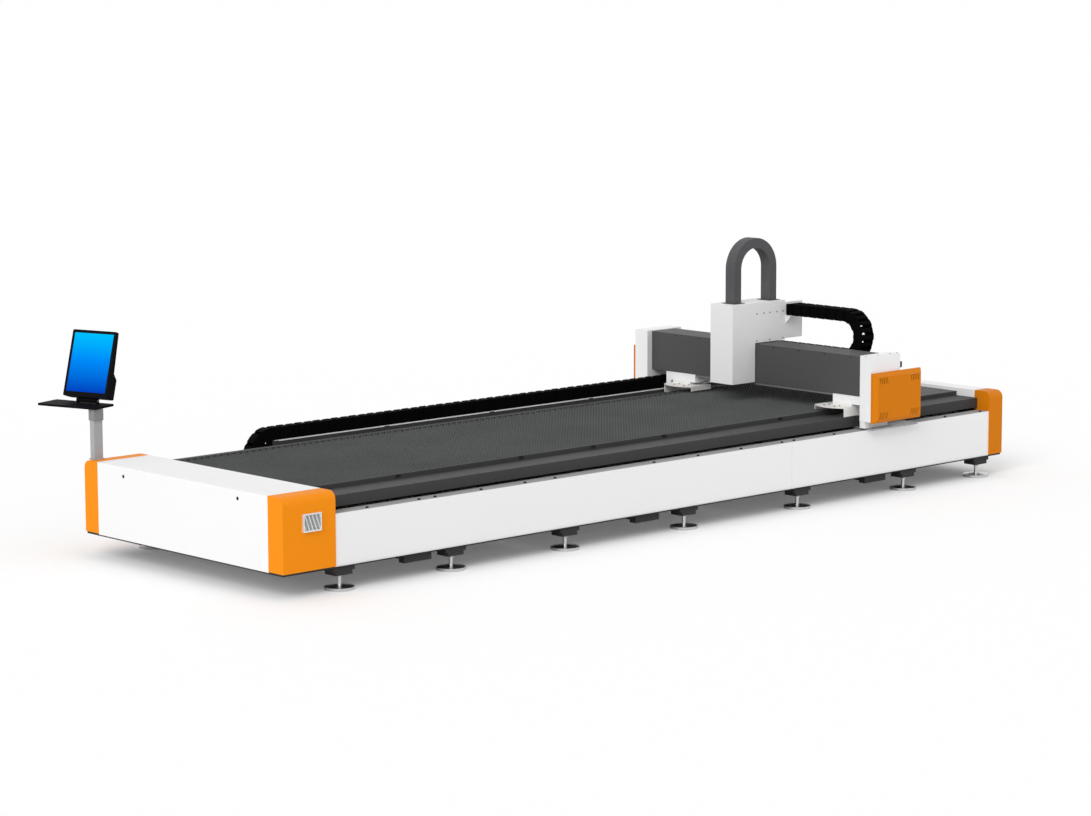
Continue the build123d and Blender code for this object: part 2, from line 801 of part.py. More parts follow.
def gear_outline(root, tip, teeth):
    """Outline of a pinion with straight flanked teeth"""
    points = []
    step = 2 * math.pi / teeth
    for i in range(teeth):
        for radius, turn in ((root, -0.32), (tip, -0.16), (tip, 0.16), (root, 0.32)):
            angle = (i + turn) * step
            points.append((radius * math.cos(angle), radius * math.sin(angle)))
    return points


def pinion():
    """A pinion standing on z 0 with its shaft below"""
    wheel = along_z(gear_outline(PINION_ROOT, PINION_TIP, PINION_TEETH), 0, PINION_HEIGHT)
    drop = PINION_GAP + SHAFT_LENGTH - SEAT
    shaft = Cylinder(SHAFT_RADIUS, drop, align=(Align.CENTER, Align.CENTER, Align.MAX))
    return wheel + shaft


x_pinion = Pos(pinion_x, pinion_y, pinion_z0) * pinion()
parts["x_pinion_near"] = x_pinion
parts["x_pinion_far"] = far_side(x_pinion)

# Gantry beam, a rectangular tube, with a light strip under its front edge
beam_x1 = GANTRY_X + BEAM_DEPTH
beam = block(GANTRY_X, beam_x1, BEAM_NEAR, beam_far, BEAM_BOTTOM, BEAM_TOP)
beam -= block(
    GANTRY_X + BEAM_WALL,
    beam_x1 - BEAM_WALL,
    BEAM_NEAR,
    beam_far,
    BEAM_BOTTOM + BEAM_WALL,
    BEAM_TOP - BEAM_WALL,
)
parts["gantry_beam"] = beam

# Brackets that carry the beam: a post on the saddle and a seat under the beam
seat_z0 = BEAM_BOTTOM - SEAT_THICK
post_y0 = BEAM_NEAR - POST_WIDTH
bracket_x0 = GANTRY_X + END_SHEET_T
bracket_x1 = beam_x1
near_bracket = along_x(
    [
        (post_y0, saddle_z1),
        (BEAM_NEAR, saddle_z1),
        (BEAM_NEAR, seat_z0),
        (BEAM_NEAR + SEAT_REACH, seat_z0),
        (BEAM_NEAR + SEAT_REACH, BEAM_BOTTOM),
        (BEAM_NEAR, BEAM_BOTTOM),
        (BEAM_NEAR, BEAM_TOP),
        (post_y0, BEAM_TOP),
    ],
    bracket_x0,
    bracket_x1,
)
far_bracket = along_x(
    [
        (arm_y0, saddle_z1),
        (arm_y1, saddle_z1),
        (arm_y1, BEAM_BOTTOM),
        (arm_y0 - SEAT_REACH, BEAM_BOTTOM),
        (arm_y0 - SEAT_REACH, seat_z0),
        (arm_y0, seat_z0),
    ],
    bracket_x0,
    bracket_x1,
)
parts["beam_brackets"] = group(near_bracket, far_bracket)
strip_y0 = BEAM_NEAR + SEAT_REACH + SEAT
strip_y1 = arm_y0 - SEAT_REACH - SEAT
parts["beam_strip"] = block(
    GANTRY_X + STRIP_BACK,
    GANTRY_X + STRIP_BACK + STRIP_WIDTH,
    strip_y0,
    strip_y1,
    BEAM_BOTTOM - STRIP_HEIGHT,
    BEAM_BOTTOM,
)

# White end housings of the gantry
end_x1 = GANTRY_X + END_DEPTH
end_near = block(GANTRY_X, end_x1, END_OUTER, BEAM_NEAR, END_BOTTOM, END_TOP)
end_near -= block(
    GANTRY_X + END_SHEET_T,
    end_x1 - END_SHEET_T,
    END_OUTER + END_SHEET_T,
    BEAM_NEAR,
    END_BOTTOM,
    END_TOP - END_SHEET_T,
)
parts["gantry_end_near"] = end_near
end_far_y1 = beam_far + FAR_PLATE
end_far_x0 = GANTRY_X - FAR_PROUD
end_far = block(end_far_x0, end_x1, beam_far, end_far_y1, END_BOTTOM, END_TOP)
end_far -= block(
    end_far_x0 + END_SHEET_T,
    end_x1 - END_SHEET_T,
    beam_far + END_SHEET_T,
    end_far_y1 - END_SHEET_T,
    END_BOTTOM,
    END_TOP - END_SHEET_T,
)
parts["gantry_end_far"] = end_far


def drive_guard():
    """The near drive guard: a shell with a bevelled face and slanted slits at its corners"""
    y1 = END_OUTER
    y0 = y1 - GUARD_PROUD
    x0 = GANTRY_X
    x1 = x0 + GUARD_LENGTH
    z0 = END_BOTTOM - GUARD_DROP
    z1 = z0 + GUARD_HEIGHT
    shell = block(x0, x1, y0, y1, z0, z1)
    face = shell.faces().sort_by(Axis.Y)[0]
    shell = chamfer(face.edges(), GUARD_BEVEL)
    t = GUARD_SHEET
    hollow = block(x0 + t, x1 - t, y0 + t, y1, z0 + t, z1 - t)
    face = hollow.faces().sort_by(Axis.Y)[0]
    shell -= chamfer(face.edges(), GUARD_BEVEL)
    group_width = (SLIT_COUNT - 1) * SLIT_PITCH + SLIT_WIDTH + SLIT_LEAN
    for left in (x0 + SLIT_MARGIN_X, x1 - SLIT_MARGIN_X - group_width):
        for low, lean in (
            (z0 + SLIT_MARGIN_Z, SLIT_LEAN),
            (z1 - SLIT_MARGIN_Z - SLIT_HEIGHT, -SLIT_LEAN),
        ):
            for i in range(SLIT_COUNT):
                x = left + i * SLIT_PITCH + max(0, -lean)
                slit = along_y(
                    [
                        (x, low),
                        (x + SLIT_WIDTH, low),
                        (x + SLIT_WIDTH + lean, low + SLIT_HEIGHT),
                        (x + lean, low + SLIT_HEIGHT),
                    ],
                    y0 - 1,
                    y0 + 2 * t,
                )
                shell -= slit
    return shell


guard = drive_guard()
guard_far = Pos(-FAR_PROUD, 0, 0) * mirror(guard, Plane.XZ.offset(-(END_OUTER + end_far_y1) / 2))
parts["drive_guards"] = group(guard, guard_far)

# Shelves that sweep the rail covers before the gantry
shelf_y0 = COVER_OUTER + SHELF_SIDE
shelf_y1 = shelf_y0 + SHELF_WIDTH
shelf_x0 = GANTRY_X - SHELF_REACH
shelf_arc = (shelf_y0 + shelf_y1) / 2
shelf_top = SHELF_Z + SHELF_THICK
with BuildSketch(Plane.XY.offset(SHELF_Z)) as shelf_sketch:
    with BuildLine():
        Polyline(
            (shelf_x0 + SHELF_BOW, shelf_y0),
            (bracket_x0 + BEAM_DEPTH / 2, shelf_y0),
            (bracket_x0 + BEAM_DEPTH / 2, shelf_y1),
            (shelf_x0 + SHELF_BOW, shelf_y1),
        )
        ThreePointArc(
            (shelf_x0 + SHELF_BOW, shelf_y1),
            (shelf_x0, shelf_arc),
            (shelf_x0 + SHELF_BOW, shelf_y0),
        )
    make_face()
shelf = extrude(shelf_sketch.sketch, SHELF_THICK)
shelf += block(
    bracket_x0,
    bracket_x0 + BEAM_DEPTH / 2,
    shelf_y0 + SHELF_SIDE,
    BEAM_NEAR + SEAT_REACH,
    shelf_top,
    seat_z0,
)
skirt_z0 = COVER_TOP + SHELF_CLEAR
for y in (shelf_y0, shelf_y1 - SHELF_THICK):
    lip_z0 = skirt_z0 if y == shelf_y0 else DECK_TOP + SHELF_CLEAR
    shelf += block(
        shelf_x0 + SHELF_BOW, bracket_x0 + BEAM_DEPTH / 2, y, y + SHELF_THICK, lip_z0, SHELF_Z
    )
far_shelf = far_side(shelf)
parts["rail_guards"] = group(shelf, far_shelf)

# Cross rails and rack on the rear face of the beam, short of the lane of the long chain
chain_lane = FAR - SIDE_INSET + XCHAIN_OFFSET
cross_y0 = BEAM_NEAR + CROSS_RAIL_MARGIN
cross_y1 = chain_lane - 2 * LANE_CLEAR
cross_out = beam_x1 + CROSS_RAIL_HEIGHT
cross_zs = (
    BEAM_BOTTOM + CROSS_RAIL_MARGIN,
    BEAM_TOP - CROSS_RAIL_MARGIN,
)
cross_rails = [
    block(
        beam_x1, cross_out, cross_y0, cross_y1, z - CROSS_RAIL_WIDTH / 2, z + CROSS_RAIL_WIDTH / 2
    )
    for z in cross_zs
]
parts["y_rails"] = group(*cross_rails)
cross_rack_z = (cross_zs[0] + cross_zs[1]) / 2
parts["y_rack"] = block(
    beam_x1,
    beam_x1 + CROSS_RACK_DEPTH,
    cross_y0,
    cross_y1,
    cross_rack_z - CROSS_RACK_HEIGHT / 2,
    cross_rack_z + CROSS_RACK_HEIGHT / 2,
)

# Head carriage: a bridge over the beam, from the rear plate to the plate of the Z axis
head_y = HEAD_NEAR + HEAD_WIDTH / 2
plate_out = HEAD_BACK - HEAD_SHEET
plate_in = plate_out - CARRIAGE_PLATE
front_plate_x1 = HEAD_FRONT + HEAD_NOSE - HEAD_SHEET
front_plate_x0 = front_plate_x1 - Z_PLATE_THICK
bridge_z0 = BEAM_TOP + BRIDGE_CLEAR
bridge_z1 = bridge_z0 + Z_PLATE_THICK
carriage = along_y(
    [
        (plate_out, cross_zs[0] - CARRIAGE_FOOT),
        (plate_out, bridge_z1),
        (front_plate_x0, bridge_z1),
        (front_plate_x0, Z_PLATE_BOTTOM),
        (front_plate_x1, Z_PLATE_BOTTOM),
        (front_plate_x1, bridge_z0),
        (plate_in, bridge_z0),
        (plate_in, cross_zs[0] - CARRIAGE_FOOT),
    ],
    head_y - Z_PLATE_WIDTH / 2,
    head_y + Z_PLATE_WIDTH / 2,
)
screw_x = front_plate_x0 - SCREW_OUT
bearing_x0 = screw_x - SCREW_HOUSE
for z in (Z_PLATE_BOTTOM, bridge_z0):
    carriage += block(
        bearing_x0, front_plate_x0, head_y - SCREW_HOUSE, head_y + SCREW_HOUSE, z, z + Z_PLATE_THICK
    )
screw_bore = Cylinder(
    SCREW_RADIUS + SHAFT_PLAY,
    bridge_z1 - Z_PLATE_BOTTOM,
    align=(Align.CENTER, Align.CENTER, Align.MIN),
)
carriage -= Pos(screw_x, head_y, Z_PLATE_BOTTOM + SCREW_FLOOR) * screw_bore
y_pinion_z = cross_rack_z - CROSS_RACK_HEIGHT / 2 - RACK_GAP - PINION_TIP
y_pinion_x0 = beam_x1 + (CROSS_RACK_DEPTH - PINION_HEIGHT) / 2 + 2
shaft_hole = Cylinder(SHAFT_RADIUS * 2, CARRIAGE_PLATE * 3)
carriage -= Pos(plate_out, head_y, y_pinion_z) * Rot(0, 90, 0) * shaft_hole
parts["carriage_frame"] = carriage

# Bearing blocks on the cross rails
cross_blocks = []
for z in cross_zs:
    for y in (head_y - Z_PLATE_WIDTH / 2, head_y + Z_PLATE_WIDTH / 2 - CROSS_BLOCK_LENGTH):
        half = CROSS_BLOCK_WIDTH / 2
        bearing = block(
            beam_x1 + CROSS_RAIL_HEIGHT / 2,
            plate_in,
            y,
            y + CROSS_BLOCK_LENGTH,
            z - half,
            z + half,
        )
        groove = CROSS_RAIL_WIDTH / 2 + BLOCK_PLAY
        bearing -= block(
            beam_x1, cross_out + BLOCK_PLAY, y, y + CROSS_BLOCK_LENGTH, z - groove, z + groove
        )
        cross_blocks.append(bearing)
parts["y_bearing_blocks"] = group(*cross_blocks)

# Drive of the carriage: a motor behind the plate, its pinion under the cross rack
y_motor = block(
    plate_out,
    plate_out + MOTOR_LENGTH * 2 / 3,
    head_y - motor_half,
    head_y + motor_half,
    y_pinion_z - motor_half,
    y_pinion_z + motor_half,
)
y_shaft_end = plate_out + SHAFT_LENGTH
y_bore = Cylinder(
    SHAFT_RADIUS + SHAFT_PLAY, SHAFT_LENGTH, align=(Align.CENTER, Align.CENTER, Align.MIN)
)
y_motor -= Pos(plate_out, head_y, y_pinion_z) * Rot(0, 90, 0) * y_bore
parts["y_drive_motor"] = y_motor
y_wheel = along_z(gear_outline(PINION_ROOT, PINION_TIP, PINION_TEETH), 0, PINION_HEIGHT)
y_shaft_length = y_shaft_end - y_pinion_x0 - SEAT
y_shaft = Cylinder(SHAFT_RADIUS, y_shaft_length, align=(Align.CENTER, Align.CENTER, Align.MIN))
parts["y_pinion"] = Pos(y_pinion_x0, head_y, y_pinion_z) * Rot(0, 90, 0) * (y_wheel + y_shaft)

# Head covers: the front cover, and the rear housing that reaches back over the beam
head_far = HEAD_NEAR + HEAD_WIDTH
head_seam = HEAD_FRONT + HEAD_COVER_DEPTH
nose_x1 = HEAD_FRONT + HEAD_NOSE
over_z = BEAM_TOP + HEAD_OVER
t = HEAD_SHEET
cover = block(HEAD_FRONT, head_seam, HEAD_NEAR, head_far, HEAD_BOTTOM, HEAD_TOP)
cover -= block(HEAD_FRONT + t, head_seam, HEAD_NEAR + t, head_far - t, HEAD_BOTTOM, HEAD_TOP - t)
hole_clear = LOOP_HOLE
loop_y0 = HEAD_NEAR + LOOP_SIDE
loop_y1 = loop_y0 + LOOP_WIDTH
cover -= block(
    LOOP_FRONT + hole_clear,
    LOOP_FRONT + LOOP_DEPTH - hole_clear,
    loop_y0 + hole_clear,
    loop_y1 - hole_clear,
    HEAD_TOP - t,
    HEAD_TOP,
)
parts["head_cover_front"] = cover
rear_case = along_y(
    [
        (head_seam, HEAD_BOTTOM),
        (nose_x1, HEAD_BOTTOM),
        (nose_x1, over_z),
        (HEAD_BACK, over_z),
        (HEAD_BACK, HEAD_TOP),
        (head_seam, HEAD_TOP),
    ],
    HEAD_NEAR,
    head_far,
)
rear_case -= along_y(
    [
        (head_seam, HEAD_BOTTOM),
        (nose_x1 - t, HEAD_BOTTOM),
        (nose_x1 - t, over_z + t),
        (HEAD_BACK - t, over_z + t),
        (HEAD_BACK - t, HEAD_TOP - t),
        (head_seam, HEAD_TOP - t),
    ],
    HEAD_NEAR + t,
    head_far - t,
)
rear_case -= block(
    plate_in - t, HEAD_BACK - t, HEAD_NEAR + t, head_far - t, over_z, over_z + t
)
rear_case -= block(
    LOOP_REAR + hole_clear,
    LOOP_REAR + LOOP_DEPTH - hole_clear,
    loop_y0 + hole_clear,
    loop_y1 - hole_clear,
    HEAD_TOP - t,
    HEAD_TOP,
)
parts["head_cover_rear"] = rear_case

# Plate behind the head with the shelf and gusset that hold the chain end
chain_z0 = YCHAIN_TOP - YCHAIN_HEIGHT
shelf_z1 = chain_z0 - SEAT
back_plate = block(
    HEAD_BACK,
    BACK_PLATE_END,
    HEAD_NEAR,
    HEAD_NEAR + BACK_PLATE_THICK,
    BACK_PLATE_BOTTOM,
    BACK_PLATE_TOP,
)
back_plate += block(
    HEAD_BACK,
    YCHAIN_X + YCHAIN_WIDTH,
    HEAD_NEAR - GUSSET,
    HEAD_NEAR,
    shelf_z1 - BACK_PLATE_THICK,
    shelf_z1,
)
gusset = along_x(
    [
        (HEAD_NEAR, shelf_z1 - BACK_PLATE_THICK - GUSSET),
        (HEAD_NEAR, shelf_z1 - BACK_PLATE_THICK),
        (HEAD_NEAR - GUSSET, shelf_z1 - BACK_PLATE_THICK),
    ],
    HEAD_BACK + BACK_PLATE_THICK,
    HEAD_BACK + 2 * BACK_PLATE_THICK,
)
back_plate += gusset
parts["chain_plate"] = back_plate

# Hose loop: a hollow rectangular duct bent through half a turn over the head
loop_mid_front = LOOP_FRONT + LOOP_DEPTH / 2
loop_mid_rear = LOOP_REAR + LOOP_DEPTH / 2
loop_radius = (loop_mid_rear - loop_mid_front) / 2
loop_spring = LOOP_TOP - LOOP_DEPTH / 2 - loop_radius
loop_foot = HEAD_TOP
loop_y = loop_y0 + LOOP_WIDTH / 2
loop_front = Vector(loop_mid_front, loop_y, loop_spring)
loop_crown = Vector(loop_mid_front + loop_radius, loop_y, loop_spring + loop_radius)
loop_rear = Vector(loop_mid_rear, loop_y, loop_spring)
with BuildPart() as loop_part:
    with BuildLine() as loop_path:
        Line((loop_mid_front, loop_y, loop_foot), loop_front)
        ThreePointArc(loop_front, loop_crown, loop_rear)
        Line(loop_rear, (loop_mid_rear, loop_y, loop_foot))
    with BuildSketch(Plane.XY.offset(loop_foot)):
        with Locations((loop_mid_front, loop_y)):
            Rectangle(LOOP_DEPTH, LOOP_WIDTH)
            Rectangle(LOOP_DEPTH - 2 * LOOP_WALL, LOOP_WIDTH - 2 * LOOP_WALL, mode=Mode.SUBTRACT)
    sweep(path=loop_path.wires()[0])
hose_loop = loop_part.part
for x0, x1 in ((LOOP_FRONT, LOOP_FRONT + LOOP_DEPTH), (LOOP_REAR, LOOP_REAR + LOOP_DEPTH)):
    flange = block(
        x0 - COLLAR_REACH,
        x1 + COLLAR_REACH,
        loop_y0 - COLLAR_REACH,
        loop_y1 + COLLAR_REACH,
        loop_foot,
        loop_foot + COLLAR_THICK,
    )
    hose_loop += flange - block(x0, x1, loop_y0, loop_y1, loop_foot, loop_foot + COLLAR_THICK)
parts["hose_loop"] = hose_loop

# Z axis: two rails and a screw on the front plate, a motor on the upper bearing
z_rail_z0 = Z_PLATE_BOTTOM + Z_PLATE_THICK
z_rail_out = front_plate_x0 - Z_RAIL_HEIGHT
z_rails = []
for side in (-1, 1):
    y = head_y + side * Z_RAIL_SPREAD
    z_rails.append(
        block(
            z_rail_out, front_plate_x0, y - Z_RAIL_WIDTH / 2, y + Z_RAIL_WIDTH / 2, z_rail_z0, bridge_z0
        )
    )
parts["z_rails"] = group(*z_rails)
screw_z0 = Z_PLATE_BOTTOM + SCREW_FLOOR + SEAT
screw_z1 = bridge_z1 + SHAFT_LENGTH - SEAT
screw = Cylinder(
    SCREW_RADIUS, screw_z1 - screw_z0, align=(Align.CENTER, Align.CENTER, Align.MIN)
)
parts["z_screw"] = Pos(screw_x, head_y, screw_z0) * screw
z_motor = block(
    screw_x - Z_MOTOR_SIDE / 2,
    screw_x + Z_MOTOR_SIDE / 2,
    head_y - Z_MOTOR_SIDE / 2,
    head_y + Z_MOTOR_SIDE / 2,
    bridge_z1,
    bridge_z1 + Z_MOTOR_HEIGHT,
)
z_bore = Cylinder(
    SCREW_RADIUS + SHAFT_PLAY, SHAFT_LENGTH, align=(Align.CENTER, Align.CENTER, Align.MIN)
)
z_motor -= Pos(screw_x, head_y, bridge_z1) * z_bore
parts["z_motor"] = z_motor

# Slide of the Z axis with the clamp of the cutting head
slide_x1 = front_plate_x0 - SLIDE_PLAY
slide_x0 = screw_x - SLIDE_THICK
slide_z1 = bridge_z0 - SLIDE_REST
slide_z0 = slide_z1 - SLIDE_HEIGHT
slide = block(
    slide_x0, slide_x1, head_y - SLIDE_WIDTH / 2, head_y + SLIDE_WIDTH / 2, slide_z0, slide_z1
)
for side in (-1, 1):
    y = head_y + side * Z_RAIL_SPREAD
    groove = Z_RAIL_WIDTH / 2 + BLOCK_PLAY
    slide -= block(z_rail_out - BLOCK_PLAY, slide_x1, y - groove, y + groove, slide_z0, slide_z1)
nut_bore = Cylinder(
    SCREW_RADIUS + BLOCK_PLAY, SLIDE_HEIGHT, align=(Align.CENTER, Align.CENTER, Align.MIN)
)
slide -= Pos(screw_x, head_y, slide_z0) * nut_bore
clamp_x0 = HEAD_AXIS + HEAD_BODY / 2
slide += block(
    clamp_x0, slide_x0, head_y - CLAMP_WIDTH / 2, head_y + CLAMP_WIDTH / 2, slide_z0 + CLAMP_UP, slide_z1
)
parts["z_slide"] = slide

# Cutting head: collimator housing, lens housing with its drawer, nozzle
lens_z0 = NOZZLE_TIP + NOZZLE_HEIGHT
lens_z1 = lens_z0 + LENS_HEIGHT
head_half = HEAD_BODY / 2
collimator = block(
    HEAD_AXIS - head_half,
    HEAD_AXIS + head_half,
    head_y - head_half,
    head_y + head_half,
    lens_z1,
    lens_z1 + COLLIMATOR_HEIGHT,
)
fibre_port = Cylinder(PORT_RADIUS, PORT_HEIGHT, align=(Align.CENTER, Align.CENTER, Align.MIN))
collimator += Pos(HEAD_AXIS, head_y, lens_z1 + COLLIMATOR_HEIGHT) * fibre_port
parts["collimator"] = collimator
lens_round = Cylinder(head_half, LENS_HEIGHT, align=(Align.CENTER, Align.CENTER, Align.MIN))
lens_body = Pos(HEAD_AXIS, head_y, lens_z0) * lens_round
drawer_z = lens_z0 + LENS_HEIGHT / 3
lens_body += block(
    HEAD_AXIS - head_half - DRAWER_PROUD,
    HEAD_AXIS,
    head_y - head_half * 0.8,
    head_y + head_half * 0.8,
    drawer_z,
    drawer_z + DRAWER_HEIGHT,
)
beam_bore = Cylinder(LENS_BORE, LENS_HEIGHT, align=(Align.CENTER, Align.CENTER, Align.MIN))
lens_body -= Pos(HEAD_AXIS, head_y, lens_z0) * beam_bore
parts["lens_housing"] = lens_body
nozzle_profile = make_face(
    Polyline(
        (NOZZLE_BORE, NOZZLE_TIP),
        (NOZZLE_FACE, NOZZLE_TIP),
        (NOZZLE_RING, lens_z0 - NOZZLE_HEIGHT / 2),
        (NOZZLE_RING, lens_z0),
        (LENS_BORE, lens_z0),
        close=True,
    )
)
parts["nozzle"] = Pos(HEAD_AXIS, head_y, 0) * revolve(Plane.XZ * nozzle_profile, Axis.Z)


def chain_link(length, height, width, wall):
    """One straight link, its length along x, middle height at z 0, width along y"""
    link = Box(length, width, height)
    return link - Box(length, width - 2 * wall, height - 2 * wall)


def bend_link(half_angle, radius, height, width, wall):
    """One wedge-shaped link of a bend whose centre lies below it"""
    middle = radius * math.cos(half_angle)
    half_height = height / 2 * math.cos(half_angle)
    half_in = (middle - half_height) * math.tan(half_angle) - LINK_GAP / 2
    half_out = (middle + half_height) * math.tan(half_angle) - LINK_GAP / 2
    outline = [
        (-half_in, middle - half_height),
        (half_in, middle - half_height),
        (half_out, middle + half_height),
        (-half_out, middle + half_height),
    ]
    link = along_y(outline, -width / 2, width / 2)
    hollow = Box(2 * half_out, width - 2 * wall, 2 * (half_height - wall))
    return link - Pos(0, 0, middle) * hollow


# Energy chain of the carriage: lower run, bend and upper run, one solid for each link
y_pitch = math.pi * YCHAIN_RADIUS / YCHAIN_LINKS
y_mid_x = YCHAIN_X + YCHAIN_WIDTH / 2
upper_z = YCHAIN_TOP - YCHAIN_HEIGHT / 2
lower_z = upper_z - 2 * YCHAIN_RADIUS
turn_z = upper_z - YCHAIN_RADIUS
across = Rot(0, 0, 90)
straight = across * chain_link(y_pitch - LINK_GAP, YCHAIN_HEIGHT, YCHAIN_WIDTH, LINK_WALL)
y_chain = []
upper_links = int((HEAD_NEAR - YCHAIN_TURN) / y_pitch)
for i in range(upper_links):
    y_chain.append(Pos(y_mid_x, YCHAIN_TURN + (i + 0.5) * y_pitch, upper_z) * straight)
lower_links = int((YCHAIN_LOW_END - YCHAIN_TURN) / y_pitch)
for i in range(lower_links):
    y_chain.append(Pos(y_mid_x, YCHAIN_TURN + (i + 0.5) * y_pitch, lower_z) * straight)
half_angle = math.pi / YCHAIN_LINKS / 2
y_bent = bend_link(half_angle, YCHAIN_RADIUS, YCHAIN_HEIGHT, YCHAIN_WIDTH, LINK_WALL)
for i in range(YCHAIN_LINKS):
    angle = 180 / YCHAIN_LINKS * (i + 0.5)
    turned = Rot(angle, 0, 0) * across * y_bent
    y_chain.append(Pos(y_mid_x, YCHAIN_TURN, turn_z) * turned)
parts["y_energy_chain"] = group(*y_chain)

# Tray of that chain, a long channel held at both ends by the beam
ytray_x0 = YCHAIN_X - YTRAY_SIDE
ytray_x1 = YCHAIN_X + YCHAIN_WIDTH + YTRAY_SIDE
ytray_z1 = lower_z - YCHAIN_HEIGHT / 2 - SEAT
ytray_z0 = ytray_z1 - YTRAY_SHEET
ytray_y0 = BEAM_NEAR + YTRAY_SHEET
ytray_y1 = chain_lane - LANE_CLEAR
y_tray = along_y(
    [
        (ytray_x0, ytray_z0),
        (ytray_x1, ytray_z0),
        (ytray_x1, ytray_z1 + YTRAY_LIP),
        (ytray_x1 - YTRAY_SHEET, ytray_z1 + YTRAY_LIP),
        (ytray_x1 - YTRAY_SHEET, ytray_z1),
        (ytray_x0, ytray_z1),
    ],
    ytray_y0,
    ytray_y1,
)
for y in (ytray_y0, ytray_y1 - YTRAY_SHEET):
    y_tray += along_y(
        [
            (beam_x1, ytray_z0 - YTRAY_STAY),
            (ytray_x1, ytray_z0),
            (ytray_x1, ytray_z1),
            (beam_x1, ytray_z1),
        ],
        y,
        y + YTRAY_SHEET,
    )
parts["y_chain_tray"] = y_tray

# Energy chain of the gantry: a curved tail, the long lower run, the bend, the upper end
xchain_y = chain_lane + XCHAIN_WIDTH / 2
xlow_z = XCHAIN_TOP - XCHAIN_HEIGHT / 2
x_straight = chain_link(XCHAIN_PITCH - LINK_GAP, XCHAIN_HEIGHT, XCHAIN_WIDTH, LINK_WALL)
x_chain = []
x_run = int((XCHAIN_TURN - XCHAIN_START) / XCHAIN_PITCH)
for i in range(x_run):
    x_chain.append(Pos(XCHAIN_TURN - (i + 0.5) * XCHAIN_PITCH, xchain_y, xlow_z) * x_straight)
tail_x = XCHAIN_TURN - x_run * XCHAIN_PITCH
tail_angle = math.pi / 2 / XCHAIN_TAIL_LINKS
tail_radius = XCHAIN_PITCH / tail_angle
tail_z = xlow_z - tail_radius
tail_link = bend_link(tail_angle / 2, tail_radius, XCHAIN_HEIGHT, XCHAIN_WIDTH, LINK_WALL)
for i in range(XCHAIN_TAIL_LINKS):
    angle = -math.degrees(tail_angle * (i + 0.5))
    turned = Rot(0, angle, 0) * tail_link
    x_chain.append(Pos(tail_x, xchain_y, tail_z) * turned)
x_half = math.pi / XCHAIN_LINKS / 2
x_bent = bend_link(x_half, XCHAIN_RADIUS, XCHAIN_HEIGHT, XCHAIN_WIDTH, LINK_WALL)
for i in range(XCHAIN_LINKS):
    angle = 180 / XCHAIN_LINKS * (i + 0.5)
    turned = Rot(0, angle, 0) * x_bent
    x_chain.append(Pos(XCHAIN_TURN, xchain_y, xlow_z + XCHAIN_RADIUS) * turned)
x_upper_z = xlow_z + 2 * XCHAIN_RADIUS
for i in range(XCHAIN_UPPER_LINKS):
    x_chain.append(Pos(XCHAIN_TURN - (i + 0.5) * XCHAIN_PITCH, xchain_y, x_upper_z) * x_straight)
parts["x_energy_chain"] = group(*x_chain)

# Arm of the gantry that holds the moving end of that chain
arm_end = XCHAIN_TURN - XCHAIN_UPPER_LINKS * XCHAIN_PITCH - LINK_GAP
parts["chain_arm"] = along_y(
    [
        (beam_x1 + ARM_PLATE, x_upper_z - XCHAIN_HEIGHT / 2),
        (arm_end, x_upper_z - XCHAIN_HEIGHT / 2),
        (arm_end, x_upper_z + XCHAIN_HEIGHT / 2),
        (beam_x1 + ARM_PLATE, x_upper_z + XCHAIN_HEIGHT / 2),
    ],
    xchain_y - XCHAIN_WIDTH / 2,
    beam_far,
)

# Tray under the long run, on brackets from the far side panel
xtray_end = LENGTH - XTRAY_SHORT
xtray_z1 = XCHAIN_TOP - XCHAIN_HEIGHT - SEAT
xtray_y0 = xchain_y - XCHAIN_WIDTH / 2 - XTRAY_SHEET
xtray_y1 = xchain_y + XCHAIN_WIDTH / 2
x_tray = along_x(
    [
        (xtray_y0, xtray_z1 - XTRAY_SKIRT),
        (xtray_y0, xtray_z1),
        (xtray_y1, xtray_z1),
        (xtray_y1, xtray_z1 - XTRAY_SHEET),
        (xtray_y0 + XTRAY_SHEET, xtray_z1 - XTRAY_SHEET),
        (xtray_y0 + XTRAY_SHEET, xtray_z1 - XTRAY_SKIRT),
    ],
    tail_x,
    xtray_end,
)
panel_far = FAR - SIDE_INSET
bracket_pitch = (xtray_end - tail_x - XTRAY_FOOT) / (XTRAY_BRACKETS - 1)
for i in range(XTRAY_BRACKETS):
    x0 = tail_x + i * bracket_pitch
    x_tray += along_x(
        [
            (panel_far, LEDGE_TOP - XTRAY_GRIP),
            (panel_far, xtray_z1 - XTRAY_SHEET),
            (xtray_y1, xtray_z1 - XTRAY_SHEET),
            (xtray_y1, xtray_z1 - XTRAY_EDGE),
            (panel_far + XTRAY_SHEET * 2, LEDGE_TOP - XTRAY_GRIP),
        ],
        x0,
        x0 + XTRAY_FOOT,
    )
foot_x0 = tail_x - tail_radius - XCHAIN_HEIGHT / 2
foot_x1 = foot_x0 + XCHAIN_HEIGHT
foot_top = tail_z - SEAT
chain_foot = block(foot_x0, foot_x1, panel_far, xtray_y1, foot_top - XCHAIN_FOOT, foot_top)
chain_foot += block(
    foot_x0,
    foot_x1,
    panel_far,
    panel_far + XCHAIN_FOOT,
    foot_top - XCHAIN_FOOT_DROP,
    foot_top,
)
parts["x_chain_tray"] = group(x_tray, chain_foot)

